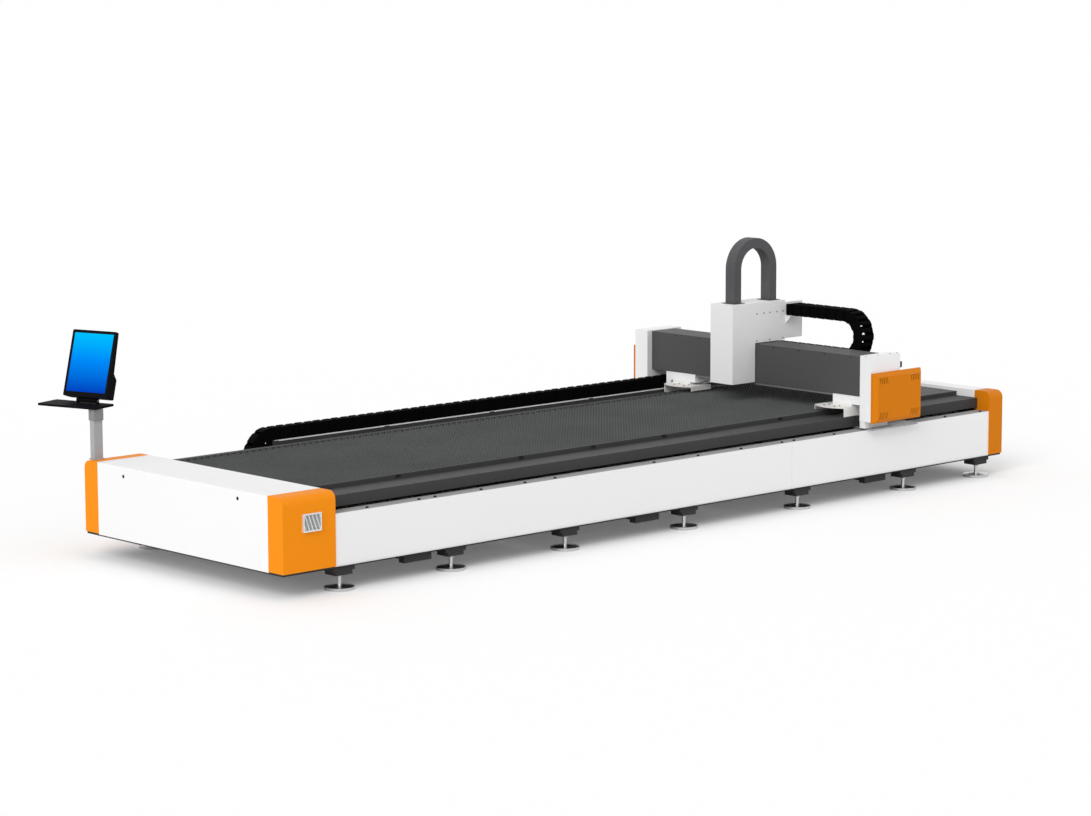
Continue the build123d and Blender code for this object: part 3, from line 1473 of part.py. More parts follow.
# Console: a column on the far front corner cover
column_y = FAR - COLUMN_Y_INSET
base_z = CORNER_TOP
column = block(
    COLUMN_X - COLUMN_DEPTH / 2 - COLUMN_RIM,
    COLUMN_X + COLUMN_DEPTH / 2 + COLUMN_RIM,
    column_y - COLUMN_WIDTH / 2 - COLUMN_RIM,
    column_y + COLUMN_WIDTH / 2 + COLUMN_RIM,
    base_z,
    base_z + COLUMN_BASE,
)
column += block(
    COLUMN_X - COLUMN_DEPTH / 2,
    COLUMN_X + COLUMN_DEPTH / 2,
    column_y - COLUMN_WIDTH / 2,
    column_y + COLUMN_WIDTH / 2,
    base_z + COLUMN_BASE,
    COLUMN_TOP,
)
plug_z0 = COLUMN_TOP - PIVOT_LENGTH - COLUMN_WALL
column -= block(
    COLUMN_X - COLUMN_DEPTH / 2 + COLUMN_WALL,
    COLUMN_X + COLUMN_DEPTH / 2 - COLUMN_WALL,
    column_y - COLUMN_WIDTH / 2 + COLUMN_WALL,
    column_y + COLUMN_WIDTH / 2 - COLUMN_WALL,
    base_z,
    plug_z0,
)
pivot_bore = Cylinder(
    PIVOT_RADIUS + PIVOT_PLAY, PIVOT_LENGTH, align=(Align.CENTER, Align.CENTER, Align.MAX)
)
column -= Pos(COLUMN_X, column_y, COLUMN_TOP) * pivot_bore
parts["console_column"] = column

# Sleeve with its pivot pin in the column
sleeve_z0 = COLUMN_TOP + SEAT
desk_z0 = sleeve_z0 + SLEEVE_HEIGHT
sleeve = block(
    COLUMN_X - SLEEVE_DEPTH / 2,
    COLUMN_X + SLEEVE_DEPTH / 2,
    column_y - SLEEVE_WIDTH / 2,
    column_y + SLEEVE_WIDTH / 2,
    sleeve_z0,
    desk_z0,
)
pivot = Cylinder(PIVOT_RADIUS, PIVOT_LENGTH, align=(Align.CENTER, Align.CENTER, Align.MAX))
sleeve += Pos(COLUMN_X, column_y, sleeve_z0) * pivot
parts["console_sleeve"] = sleeve

# Desk and screen, built looking along y and turned into place; x runs to the right
console = Pos(COLUMN_X, column_y, 0) * Rot(0, 0, CONSOLE_TURN - 90)
desk_z1 = desk_z0 + DESK_THICK
desk_x0 = DESK_RIGHT - DESK_WIDTH
desk = block(desk_x0, DESK_RIGHT, -DESK_FRONT, DESK_DEPTH - DESK_FRONT, desk_z0, desk_z1)
desk = fillet(desk.edges().filter_by(Axis.Z), DESK_ROUND)
hinge_y = DESK_DEPTH - DESK_FRONT - HINGE_BACK
hinge_z = desk_z1 + HINGE_HEIGHT
screen_x1 = DESK_RIGHT - SCREEN_SIDE
screen_x0 = screen_x1 - SCREEN_WIDTH
screen_mid = (screen_x0 + screen_x1) / 2
hinge_bore = Cylinder(HINGE_RADIUS, HINGE_SPAN * 2)
along_hinge = Pos(screen_mid, hinge_y, hinge_z) * Rot(0, 90, 0)
for x in (screen_mid - HINGE_SPAN / 2 - LUG_THICK, screen_mid + HINGE_SPAN / 2):
    desk += block(x, x + LUG_THICK, hinge_y - LUG_HALF, hinge_y + LUG_HALF, desk_z1, hinge_z)
    lug_eye = Pos(x + LUG_THICK / 2, hinge_y, hinge_z) * Rot(0, 90, 0)
    desk += lug_eye * Cylinder(LUG_HALF, LUG_THICK)
desk -= along_hinge * hinge_bore
parts["console_desk"] = console * desk
pin_length = HINGE_SPAN + 2 * LUG_THICK
hinge_pin = Cylinder(HINGE_RADIUS - PIN_PLAY, pin_length)
parts["screen_hinge_pin"] = console * (along_hinge * hinge_pin)

# Screen casing: a wedge, thick at the foot, with a recess for the glass and a hinge boss
casing = make_face(
    Polyline(
        (0, 0),
        (0, SCREEN_HEIGHT),
        (SCREEN_THIN, SCREEN_HEIGHT),
        (SCREEN_THIN + SCREEN_SWELL, SCREEN_WAIST),
        (SCREEN_THICK, SCREEN_WAIST - SCREEN_SWELL * 2),
        (SCREEN_THICK, 0),
        close=True,
    )
)
casing = extrude(Plane.YZ.offset(screen_x0) * casing, SCREEN_WIDTH)
casing = fillet(casing.edges().filter_by(Axis.Y), SCREEN_ROUND)
recess = block(
    screen_x0 + SCREEN_BEZEL,
    screen_x1 - SCREEN_BEZEL,
    0,
    GLASS_THICK,
    SCREEN_CHIN,
    SCREEN_HEIGHT - SCREEN_BEZEL,
)
casing -= recess
glass = block(
    screen_x0 + SCREEN_BEZEL + SEAT,
    screen_x1 - SCREEN_BEZEL - SEAT,
    SEAT,
    GLASS_THICK,
    SCREEN_CHIN + SEAT,
    SCREEN_HEIGHT - SCREEN_BEZEL - SEAT,
)
boss_radius = HINGE_RADIUS + HINGE_PLAY + LUG_THICK / 2
boss_length = HINGE_SPAN - 2 * BLOCK_PLAY
boss_y = SCREEN_THICK / 2
boss = Cylinder(boss_radius, boss_length)
casing += Pos(screen_mid, boss_y, -BOSS_DROP) * Rot(0, 90, 0) * boss
casing += block(
    screen_mid - boss_length / 2,
    screen_mid + boss_length / 2,
    boss_y - boss_radius,
    boss_y + boss_radius,
    -BOSS_DROP,
    0,
)
casing -= Pos(screen_mid, boss_y, -BOSS_DROP) * Rot(0, 90, 0) * Cylinder(
    HINGE_RADIUS + HINGE_PLAY, boss_length
)
leaning = Pos(0, hinge_y, hinge_z) * Rot(-SCREEN_LEAN, 0, 0) * Pos(0, -boss_y, BOSS_DROP)
parts["screen_casing"] = console * (leaning * casing)
parts["screen_glass"] = console * (leaning * glass)

# The origin goes under the middle of the whole machine, at floor level
whole = Compound(children=[s for shape in parts.values() for s in shape.solids()]).bounding_box()
origin_x = (whole.min.X + whole.max.X) / 2
origin_y = (whole.min.Y + whole.max.Y) / 2
to_origin = Pos(-origin_x, -origin_y, 0)
parts = {name: group(*[to_origin * s for s in shape.solids()]) for name, shape in parts.items()}

os.makedirs("parts", exist_ok=True)
for name, shape in parts.items():
    export_step(shape, "parts/" + name + ".step")
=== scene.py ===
# %% [markdown]
# A fiber laser cutting machine
#
# The machine is a long flat bed with a deck of slats. A gantry rolls along the bed,
# a head rolls across the gantry, and a small cutting head rides up and down inside
# it. The solids of the machine come from its CAD model and are already in place.
# This lesson gives every surface its finish and adds the fine work that a solid
# model leaves out: toothed slats, jointed chain links, screws, thin plates and a lit
# screen.

# %% Load the machine
import math
import bmesh
import bpy
from mathutils import Matrix, Vector


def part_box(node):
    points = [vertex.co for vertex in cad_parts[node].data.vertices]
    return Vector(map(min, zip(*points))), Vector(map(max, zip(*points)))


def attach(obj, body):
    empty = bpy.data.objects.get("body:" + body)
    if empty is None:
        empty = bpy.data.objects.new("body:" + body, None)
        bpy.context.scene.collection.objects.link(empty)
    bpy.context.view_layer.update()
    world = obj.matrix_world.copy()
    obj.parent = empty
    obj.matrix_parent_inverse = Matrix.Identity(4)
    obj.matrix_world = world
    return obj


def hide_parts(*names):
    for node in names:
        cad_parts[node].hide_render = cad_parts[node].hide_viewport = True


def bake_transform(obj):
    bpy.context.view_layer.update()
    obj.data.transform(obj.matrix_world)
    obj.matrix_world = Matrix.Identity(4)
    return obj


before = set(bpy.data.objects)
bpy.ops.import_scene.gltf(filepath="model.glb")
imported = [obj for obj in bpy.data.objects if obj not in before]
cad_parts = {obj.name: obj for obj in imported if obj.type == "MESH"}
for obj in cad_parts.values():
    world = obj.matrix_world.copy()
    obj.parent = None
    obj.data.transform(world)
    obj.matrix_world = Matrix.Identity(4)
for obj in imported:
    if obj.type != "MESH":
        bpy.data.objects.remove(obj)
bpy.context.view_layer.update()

# %% [markdown]
# A ruler for the drawing
#
# The drawing of the machine counts millimetres from the front face of the bed, from
# its near side and from the floor. The frame tube tells where that corner is, so one
# small helper turns drawing sizes into places in the scene. The other helpers build
# plain forms into one mesh: it is quicker to make many screws as one mesh than as
# many objects.

# %% Drawing sizes to scene places
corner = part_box("bed_frame")[0] - Vector((0.004, 0.012, 0.165))


def place(x, y, z):
    """A point of the drawing, in millimetres, as a point of the scene"""
    return corner + Vector((x, y, z)) / 1000


print("front corner of the bed:", tuple(round(v, 3) for v in corner))


# %% Mesh helpers
SCREW_CORNERS = 12
SCREW_PROFILE = ((0, 1), (0.7, 1), (1, 0.82), (1, 0.5), (0.45, 0.45))


def make_piece(name, mesh, body, finish):
    """An object from a bmesh, with its finish, riding on a body"""
    data = bpy.data.meshes.new(name)
    mesh.to_mesh(data)
    mesh.free()
    piece = bpy.data.objects.new(name, data)
    bpy.context.scene.collection.objects.link(piece)
    data.materials.append(finish)
    if body:
        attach(piece, body)
    return piece


def add_box(mesh, low, high):
    """A plain box between two corners, added to a mesh"""
    middle = (low + high) / 2
    size = high - low
    made = bmesh.ops.create_cube(mesh, size=1.0)
    bmesh.ops.scale(mesh, vec=size, verts=made["verts"])
    bmesh.ops.translate(mesh, vec=middle, verts=made["verts"])


def add_prism(mesh, outline, depth):
    """A closed outline of points, carried along the vector depth"""
    back = [mesh.verts.new(p) for p in outline]
    front = [mesh.verts.new(p + depth) for p in outline]
    mesh.faces.new(back)
    mesh.faces.new(reversed(front))
    for i in range(len(outline)):
        j = (i + 1) % len(outline)
        mesh.faces.new((back[j], back[i], front[i], front[j]))


def add_ring(mesh, rings):
    """Rings of points joined into a skin, with the last one closed"""
    made = [[mesh.verts.new(p) for p in ring] for ring in rings]
    for a, b in zip(made, made[1:]):
        for i in range(len(a)):
            j = (i + 1) % len(a)
            mesh.faces.new((a[i], a[j], b[j], b[i]))
    mesh.faces.new(made[-1])


def round_points(centre, normal, radius, count):
    """Points of a circle round a centre, across a normal"""
    normal = Vector(normal).normalized()
    side = normal.orthogonal().normalized()
    other = normal.cross(side)
    points = []
    for i in range(count):
        a = 2 * math.pi * i / count
        points.append(centre + side * (radius * math.cos(a)) + other * (radius * math.sin(a)))
    return points


def add_screw(mesh, spot, normal, radius, height):
    """A round screw head with a chamfered rim and a sunk middle"""
    normal = Vector(normal).normalized()
    rings = []
    for rise, width in SCREW_PROFILE:
        rings.append(round_points(spot + normal * height * rise, normal, radius * width, SCREW_CORNERS))
    add_ring(mesh, rings)


print("helpers ready")

# %% [markdown]
# Camera
#
# The photograph was taken from the front near corner, a good way off and a little
# above the machine, with a long lens. The camera is built from its viewing
# direction: one axis looks back from the machine, one points right, one points up.

# %% Camera
YAW = math.radians(47.07)
PITCH = math.radians(8.273)
ROLL = math.radians(-0.145)
CAMERA_PLACE = (-13277, -16871, 4428)
FOCAL_LENGTH = 106.65
forward = Vector((math.cos(YAW) * math.cos(PITCH), math.sin(YAW) * math.cos(PITCH), -math.sin(PITCH)))
level_right = Vector((math.sin(YAW), -math.cos(YAW), 0))
level_up = level_right.cross(forward)
right = level_right * math.cos(ROLL) + level_up * math.sin(ROLL)
up = level_up * math.cos(ROLL) - level_right * math.sin(ROLL)
lens = bpy.data.cameras.new("photo_camera")
lens.lens = FOCAL_LENGTH
lens.sensor_width = 36
lens.clip_end = 2000
camera = bpy.data.objects.new("photo_camera", lens)
bpy.context.scene.collection.objects.link(camera)
turn = Matrix((right, up, -forward)).transposed().to_4x4()
camera.matrix_world = Matrix.Translation(place(*CAMERA_PLACE)) @ turn
bpy.context.scene.camera = camera
print("camera at", tuple(round(v, 2) for v in camera.location), "lens", lens.lens)

# %% [markdown]
# Light, floor and background
#
# A studio for such a machine is a pale room. The world lights it evenly, and one wide
# lamp from the front gives the end faces a little more light than the long side.
# Rays that come straight from the camera, from a reflection or through glass see
# plain white. The floor keeps the shadow: it is lit as paint, and camera rays get a
# touch of glow on top, so that unshaded floor ends up white.

# %% World and lamp
ROOM_STRENGTH = 0.76
BACKDROP_STRENGTH = 1.0
LAMP_STRENGTH = 1.35
LAMP_SPREAD = math.radians(35)
WHITE = (1.0, 1.0, 1.0, 1)
world = bpy.data.worlds.new("studio")
bpy.context.scene.world = world
world.use_nodes = True
nodes = world.node_tree.nodes
links = world.node_tree.links
nodes.clear()
rays = nodes.new("ShaderNodeLightPath")
seen = nodes.new("ShaderNodeMath")
seen.operation = "MAXIMUM"
seen_more = nodes.new("ShaderNodeMath")
seen_more.operation = "MAXIMUM"
links.new(rays.outputs["Is Camera Ray"], seen.inputs[0])
links.new(rays.outputs["Is Glossy Ray"], seen.inputs[1])
links.new(seen.outputs[0], seen_more.inputs[0])
links.new(rays.outputs["Is Transmission Ray"], seen_more.inputs[1])
room_light = nodes.new("ShaderNodeBackground")
room_light.inputs["Color"].default_value = WHITE
room_light.inputs["Strength"].default_value = ROOM_STRENGTH
backdrop = nodes.new("ShaderNodeBackground")
backdrop.inputs["Color"].default_value = WHITE
backdrop.inputs["Strength"].default_value = BACKDROP_STRENGTH
pick = nodes.new("ShaderNodeMixShader")
sky = nodes.new("ShaderNodeOutputWorld")
links.new(seen_more.outputs[0], pick.inputs["Fac"])
links.new(room_light.outputs[0], pick.inputs[1])
links.new(backdrop.outputs[0], pick.inputs[2])
links.new(pick.outputs[0], sky.inputs["Surface"])
bpy.context.scene.view_settings.view_transform = "Standard"

lamp = bpy.data.lights.new("window_light", "SUN")
lamp.energy = LAMP_STRENGTH
lamp.angle = LAMP_SPREAD
window_light = bpy.data.objects.new("window_light", lamp)
bpy.context.scene.collection.objects.link(window_light)
shine = Vector((0.80, 0.36, -0.62))
window_light.rotation_euler = shine.to_track_quat("-Z", "Y").to_euler()
print("world strength", ROOM_STRENGTH, "lamp", LAMP_STRENGTH)

# %% Floor
FLOOR_GLOW = 0.130
FLOOR_HALF_SIZE = 400
FLOOR_SUNK = 0.0005
floor_mesh = bmesh.new()
bmesh.ops.create_grid(floor_mesh, x_segments=1, y_segments=1, size=FLOOR_HALF_SIZE)
floor_paint = bpy.data.materials.new("floor")
floor_paint.use_nodes = True
nodes = floor_paint.node_tree.nodes
links = floor_paint.node_tree.links
nodes.clear()
matt = nodes.new("ShaderNodeBsdfDiffuse")
matt.inputs["Color"].default_value = (0.86, 0.86, 0.86, 1)
glow = nodes.new("ShaderNodeEmission")
rays = nodes.new("ShaderNodeLightPath")
level = nodes.new("ShaderNodeMath")
level.operation = "MULTIPLY"
level.inputs[1].default_value = FLOOR_GLOW
links.new(rays.outputs["Is Camera Ray"], level.inputs[0])
links.new(level.outputs[0], glow.inputs["Strength"])
both = nodes.new("ShaderNodeAddShader")
links.new(matt.outputs[0], both.inputs[0])
links.new(glow.outputs[0], both.inputs[1])
out = nodes.new("ShaderNodeOutputMaterial")
links.new(both.outputs[0], out.inputs["Surface"])
floor = make_piece("floor", floor_mesh, None, floor_paint)
floor.location.z = -FLOOR_SUNK
print("floor laid")

# %% [markdown]
# Shared finishes
#
# Nearly every surface of the machine is sprayed, moulded or machined, and all of
# them are a little uneven and a little dusty. Three node groups hold those effects.
# Each one is built once and placed in many materials with its own values. A group
# gives out only what changes over the surface: a colour, a roughness and a height.
# The shader itself stays in the material.

# %% Helper for node groups
def start_group(name, inputs, outputs):
    """A shader node group with its named sockets"""
    group = bpy.data.node_groups.new(name, "ShaderNodeTree")
    for label, kind, value in inputs:
        socket = group.interface.new_socket(name=label, in_out="INPUT", socket_type=kind)
        socket.default_value = value
    for label, kind in outputs:
        group.interface.new_socket(name=label, in_out="OUTPUT", socket_type=kind)
    entry = group.nodes.new("NodeGroupInput")
    leave = group.nodes.new("NodeGroupOutput")
    return group, entry, leave


def add_math(tree, operation, first, second, third=None, clamp=False):
    """A math node between two sockets or numbers"""
    node = tree.nodes.new("ShaderNodeMath")
    node.operation = operation
    node.use_clamp = clamp
    for slot_number, value in enumerate((first, second, third)):
        if value is None:
            continue
        if isinstance(value, (int, float)):
            node.inputs[slot_number].default_value = value
        else:
            tree.links.new(value, node.inputs[slot_number])
    return node.outputs[0]


def add_noise(tree, place_in, scale, detail=3.0, stretch=None):
    """A noise texture on object coordinates, optionally stretched"""
    if stretch:
        mapping = tree.nodes.new("ShaderNodeMapping")
        mapping.inputs["Scale"].default_value = stretch
        tree.links.new(place_in, mapping.inputs["Vector"])
        place_in = mapping.outputs["Vector"]
    node = tree.nodes.new("ShaderNodeTexNoise")
    node.inputs["Detail"].default_value = detail
    if isinstance(scale, (int, float)):
        node.inputs["Scale"].default_value = scale
    else:
        tree.links.new(scale, node.inputs["Scale"])
    tree.links.new(place_in, node.inputs["Vector"])
    return node.outputs["Fac"]


def add_mix(tree, amount, first, second):
    """A colour mix driven by an amount"""
    node = tree.nodes.new("ShaderNodeMix")
    node.data_type = "RGBA"
    tree.links.new(amount, node.inputs["Factor"])
    for label, value in (("A", first), ("B", second)):
        socket = [s for s in node.inputs if s.name == label and s.type == "RGBA"][0]
        if isinstance(value, tuple):
            socket.default_value = value
        else:
            tree.links.new(value, socket)
    return [s for s in node.outputs if s.type == "RGBA"][0]


print("group helpers ready")

# %% [markdown]
# Sprayed paint
#
# Powder coat has a fine orange peel, drifts slightly in tone over a long panel, and
# carries thin dust on faces that look up. The dust mask comes from the upward part
# of the normal times a slow noise.

# %% Group: sprayed paint
paint_skin, entry, leave = start_group(
    "sprayed_paint",
    [
        ("Color", "NodeSocketColor", (0.8, 0.8, 0.8, 1)),
        ("Dust Color", "NodeSocketColor", (0.45, 0.44, 0.42, 1)),
        ("Dust", "NodeSocketFloat", 0.1),
        ("Drift", "NodeSocketFloat", 0.04),
        ("Peel Scale", "NodeSocketFloat", 420.0),
        ("Gloss Floor", "NodeSocketFloat", 0.35),
    ],
    [
        ("Color", "NodeSocketColor"),
        ("Roughness", "NodeSocketFloat"),
        ("Height", "NodeSocketFloat"),
    ],
)
where = paint_skin.nodes.new("ShaderNodeTexCoord").outputs["Object"]
slow = add_noise(paint_skin, where, 1.7, 4.0)
middle = add_noise(paint_skin, where, 14.0, 5.0)
fine = add_noise(paint_skin, where, entry.outputs["Peel Scale"], 2.0)
facing = paint_skin.nodes.new("ShaderNodeSeparateXYZ")
paint_skin.links.new(paint_skin.nodes.new("ShaderNodeNewGeometry").outputs["Normal"], facing.inputs[0])
upward = add_math(paint_skin, "MAXIMUM", facing.outputs["Z"], 0.0)
cloud = add_math(paint_skin, "MULTIPLY", middle, slow)
settled = add_math(paint_skin, "MULTIPLY", upward, add_math(paint_skin, "MULTIPLY", cloud, 3.2))
dust = add_math(paint_skin, "MULTIPLY", settled, entry.outputs["Dust"], clamp=True)
toned = paint_skin.nodes.new("ShaderNodeHueSaturation")
tone = add_math(paint_skin, "MULTIPLY", add_math(paint_skin, "SUBTRACT", slow, 0.5), entry.outputs["Drift"])
paint_skin.links.new(add_math(paint_skin, "ADD", tone, 1.0), toned.inputs["Value"])
paint_skin.links.new(entry.outputs["Color"], toned.inputs["Color"])
dusted = add_mix(paint_skin, dust, toned.outputs["Color"], entry.outputs["Dust Color"])
paint_skin.links.new(dusted, leave.inputs["Color"])
gloss = add_math(paint_skin, "MULTIPLY_ADD", middle, 0.14, entry.outputs["Gloss Floor"])
gloss = add_math(paint_skin, "MULTIPLY_ADD", dust, 0.35, gloss, clamp=True)
paint_skin.links.new(gloss, leave.inputs["Roughness"])
paint_skin.links.new(fine, leave.inputs["Height"])
print("sprayed paint:", len(paint_skin.nodes), "nodes")

# %% [markdown]
# Machined metal
#
# A ground rail or a turned pad shows fine lines along one direction. The same noise,
# stretched a hundredfold along that direction, gives the lines; a slow noise darkens
# patches where oil and fingers have been.

# %% Group: machined metal
ground_metal, entry, leave = start_group(
    "machined_metal",
    [
        ("Color", "NodeSocketColor", (0.6, 0.6, 0.6, 1)),
        ("Line Scale", "NodeSocketFloat", 900.0),
        ("Stain", "NodeSocketFloat", 0.2),
        ("Gloss Floor", "NodeSocketFloat", 0.22),
    ],
    [
        ("Color", "NodeSocketColor"),
        ("Roughness", "NodeSocketFloat"),
        ("Height", "NodeSocketFloat"),
    ],
)
where = ground_metal.nodes.new("ShaderNodeTexCoord").outputs["Object"]
lines = add_noise(ground_metal, where, entry.outputs["Line Scale"], 2.0, (0.02, 1.0, 1.0))
patches = add_noise(ground_metal, where, 9.0, 4.0)
stain = add_math(ground_metal, "MULTIPLY", patches, entry.outputs["Stain"], clamp=True)
ground_metal.links.new(
    add_mix(ground_metal, stain, entry.outputs["Color"], (0.08, 0.075, 0.07, 1)), leave.inputs["Color"]
)
gloss = add_math(ground_metal, "MULTIPLY_ADD", lines, 0.22, entry.outputs["Gloss Floor"])
ground_metal.links.new(add_math(ground_metal, "ADD", gloss, stain, clamp=True), leave.inputs["Roughness"])
ground_metal.links.new(lines, leave.inputs["Height"])
print("machined metal:", len(ground_metal.nodes), "nodes")

# %% [markdown]
# Moulded plastic
#
# Chain links and the screen casing are moulded with a fine spark-eroded grain and get
# slightly paler where they rub.

# %% Group: moulded plastic
moulded, entry, leave = start_group(
    "moulded_plastic",
    [
        ("Color", "NodeSocketColor", (0.02, 0.02, 0.02, 1)),
        ("Rub Color", "NodeSocketColor", (0.06, 0.06, 0.06, 1)),
        ("Rub", "NodeSocketFloat", 0.3),
        ("Grain Scale", "NodeSocketFloat", 700.0),
        ("Gloss Floor", "NodeSocketFloat", 0.4),
    ],
    [
        ("Color", "NodeSocketColor"),
        ("Roughness", "NodeSocketFloat"),
        ("Height", "NodeSocketFloat"),
    ],
)
where = moulded.nodes.new("ShaderNodeTexCoord").outputs["Object"]
grain = add_noise(moulded, where, entry.outputs["Grain Scale"], 2.0)
rubbed = add_noise(moulded, where, 23.0, 6.0)
worn = add_math(moulded, "POWER", rubbed, 2.0)
rub = add_math(moulded, "MULTIPLY", worn, entry.outputs["Rub"], clamp=True)
moulded.links.new(
    add_mix(moulded, rub, entry.outputs["Color"], entry.outputs["Rub Color"]), leave.inputs["Color"]
)
moulded.links.new(
    add_math(moulded, "MULTIPLY_ADD", rubbed, 0.2, entry.outputs["Gloss Floor"], clamp=True),
    leave.inputs["Roughness"],
)
moulded.links.new(grain, leave.inputs["Height"])
print("moulded plastic:", len(moulded.nodes), "nodes")

# %% [markdown]
# Materials
#
# One helper places a group in a new material and joins it to the shader. The metal
# share, the strength of reflections and the depth of the bump are constants, so they are
# set straight on the shader and on the bump node.

# %% Helper for materials
finishes = {}


def make_finish(name, group, values, metallic=0.0, bump=0.0002, specular=0.15):
    """A material: shared group, bump and one shader"""
    material = bpy.data.materials.new(name)
    material.use_nodes = True
    tree = material.node_tree
    tree.nodes.clear()
    effect = tree.nodes.new("ShaderNodeGroup")
    effect.node_tree = group
    for label, value in values.items():
        effect.inputs[label].default_value = value
    shader = tree.nodes.new("ShaderNodeBsdfPrincipled")
    shader.inputs["Metallic"].default_value = metallic
    shader.inputs["Specular IOR Level"].default_value = specular
    relief = tree.nodes.new("ShaderNodeBump")
    relief.inputs["Strength"].default_value = 0.5
    relief.inputs["Distance"].default_value = bump
    ending = tree.nodes.new("ShaderNodeOutputMaterial")
    tree.links.new(effect.outputs["Color"], shader.inputs["Base Color"])
    tree.links.new(effect.outputs["Roughness"], shader.inputs["Roughness"])
    tree.links.new(effect.outputs["Height"], relief.inputs["Height"])
    tree.links.new(relief.outputs["Normal"], shader.inputs["Normal"])
    tree.links.new(shader.outputs[0], ending.inputs["Surface"])
    finishes[name] = material


print("finish helper ready")

# %% [markdown]
# Paints
#
# The covers are white and orange powder coat, the ledges are grey, the frame is near
# black as painted shade under the bed, and the deck, the rail covers and the beam are
# dark grey. A darker copy of the orange is painted shade on the rear corners and the
# drive guards. Dust shows most on the dark faces that look up.

# %% Painted finishes
make_finish(
    "white_paint", paint_skin,
    {"Color": (0.87, 0.87, 0.875, 1), "Dust": 0.04, "Drift": 0.02, "Gloss Floor": 0.40},
)
make_finish(
    "orange_paint", paint_skin,
    {"Color": (0.90, 0.275, 0.006, 1), "Dust": 0.03, "Drift": 0.04, "Gloss Floor": 0.42}, specular=0.06,
)
# A darker copy of the orange paint: painted shade for the rear corner covers and the drive guards.
make_finish(
    "orange_painted_shade", paint_skin,
    {"Color": (0.66, 0.195, 0.004, 1), "Dust": 0.03, "Drift": 0.04, "Gloss Floor": 0.42}, specular=0.06,
)
make_finish(
    "ledge_paint", paint_skin,
    {"Color": (0.35, 0.35, 0.35, 1), "Dust": 0.15, "Drift": 0.10, "Gloss Floor": 0.42},
)
# Painted shade: the frame, the foot brackets and the low members are near black as they look in the shade
# under the bed; the chain arm shares this colour.
make_finish(
    "frame_paint", paint_skin,
    {
        "Color": (0.035, 0.035, 0.037, 1),
        "Dust Color": (0.12, 0.12, 0.12, 1),
        "Dust": 0.15,
        "Drift": 0.10,
        "Gloss Floor": 0.45,
    },
)
make_finish(
    "cover_paint", paint_skin,
    {
        "Color": (0.050, 0.050, 0.051, 1),
        "Dust Color": (0.12, 0.12, 0.12, 1),
        "Dust": 0.20,
        "Drift": 0.16,
        "Gloss Floor": 0.48,
    },
)
make_finish(
    "beam_paint", paint_skin,
    {
        "Color": (0.080, 0.080, 0.082, 1),
        "Dust Color": (0.14, 0.14, 0.14, 1),
        "Dust": 0.20,
        "Drift": 0.10,
        "Gloss Floor": 0.45,
    },
)
make_finish(
    "deck_steel", paint_skin,
    {
        "Color": (0.083, 0.085, 0.085, 1),
        "Dust Color": (0.14, 0.14, 0.14, 1),
        "Dust": 0.5,
        "Drift": 0.5,
        "Peel Scale": 160.0,
        "Gloss Floor": 0.5,
    },
    metallic=0.2, bump=0.0006,
)
make_finish(
    "shelf_paint", paint_skin,
    {"Color": (0.80, 0.785, 0.76, 1), "Dust": 0.06, "Drift": 0.06, "Gloss Floor": 0.38},
)
make_finish(
    "pole_paint", paint_skin,
    {"Color": (0.38, 0.385, 0.39, 1), "Dust": 0.06, "Drift": 0.05, "Gloss Floor": 0.34},
)
make_finish(
    "sleeve_paint", paint_skin,
    {"Color": (0.24, 0.24, 0.245, 1), "Dust": 0.06, "Drift": 0.05, "Gloss Floor": 0.40},
)
make_finish(
    "slat_steel", paint_skin,
    {
        "Color": (0.125, 0.129, 0.129, 1),
        "Dust Color": (0.19, 0.19, 0.19, 1),
        "Dust": 0.5,
        "Drift": 0.4,
        "Peel Scale": 160.0,
        "Gloss Floor": 0.5,
    },
    metallic=0.2, bump=0.0006,
)
make_finish(
    "motor_paint", paint_skin,
    {"Color": (0.022, 0.022, 0.024, 1), "Dust": 0.10, "Drift": 0.10, "Gloss Floor": 0.36},
)
print("paints:", len(finishes))

# %% Metal finishes
make_finish(
    "polished_steel", ground_metal,
    {
        "Color": (0.72, 0.72, 0.73, 1),
        "Line Scale": 700.0,
        "Stain": 0.12,
        "Gloss Floor": 0.12,
    },
    metallic=1.0,
)
make_finish(
    "zinc_steel", ground_metal,
    {
        "Color": (0.60, 0.61, 0.63, 1),
        "Line Scale": 400.0,
        "Stain": 0.25,
        "Gloss Floor": 0.30,
    },
    metallic=1.0,
)
make_finish(
    "rack_steel", ground_metal,
    {
        "Color": (0.48, 0.48, 0.50, 1),
        "Line Scale": 500.0,
        "Stain": 0.40,
        "Gloss Floor": 0.30,
    },
    metallic=1.0,
)
make_finish(
    "plate_aluminium", ground_metal,
    {
        "Color": (0.66, 0.67, 0.69, 1),
        "Line Scale": 600.0,
        "Stain": 0.10,
        "Gloss Floor": 0.30,
    },
    metallic=1.0,
)
make_finish(
    "vent_silver", ground_metal,
    {
        "Color": (0.80, 0.81, 0.82, 1),
        "Line Scale": 300.0,
        "Stain": 0.05,
        "Gloss Floor": 0.38,
    },
    metallic=0.6,
)
make_finish(
    "strip_metal", ground_metal,
    {
        "Color": (0.22, 0.23, 0.24, 1),
        "Line Scale": 300.0,
        "Stain": 0.20,
        "Gloss Floor": 0.45,
    },
    metallic=0.3,
)
make_finish(
    "head_aluminium", ground_metal,
    {
        "Color": (0.34, 0.35, 0.37, 1),
        "Line Scale": 500.0,
        "Stain": 0.10,
        "Gloss Floor": 0.32,
    },
    metallic=1.0,
)
make_finish(
    "nozzle_brass", ground_metal,
    {
        "Color": (0.75, 0.50, 0.20, 1),
        "Line Scale": 1500.0,
        "Stain": 0.20,
        "Gloss Floor": 0.18,
    },
    metallic=1.0,
)
make_finish(
    "screw_black", ground_metal,
    {
        "Color": (0.03, 0.03, 0.032, 1),
        "Line Scale": 800.0,
        "Stain": 0.30,
        "Gloss Floor": 0.35,
    },
    metallic=0.7,
)
print("finishes:", len(finishes))

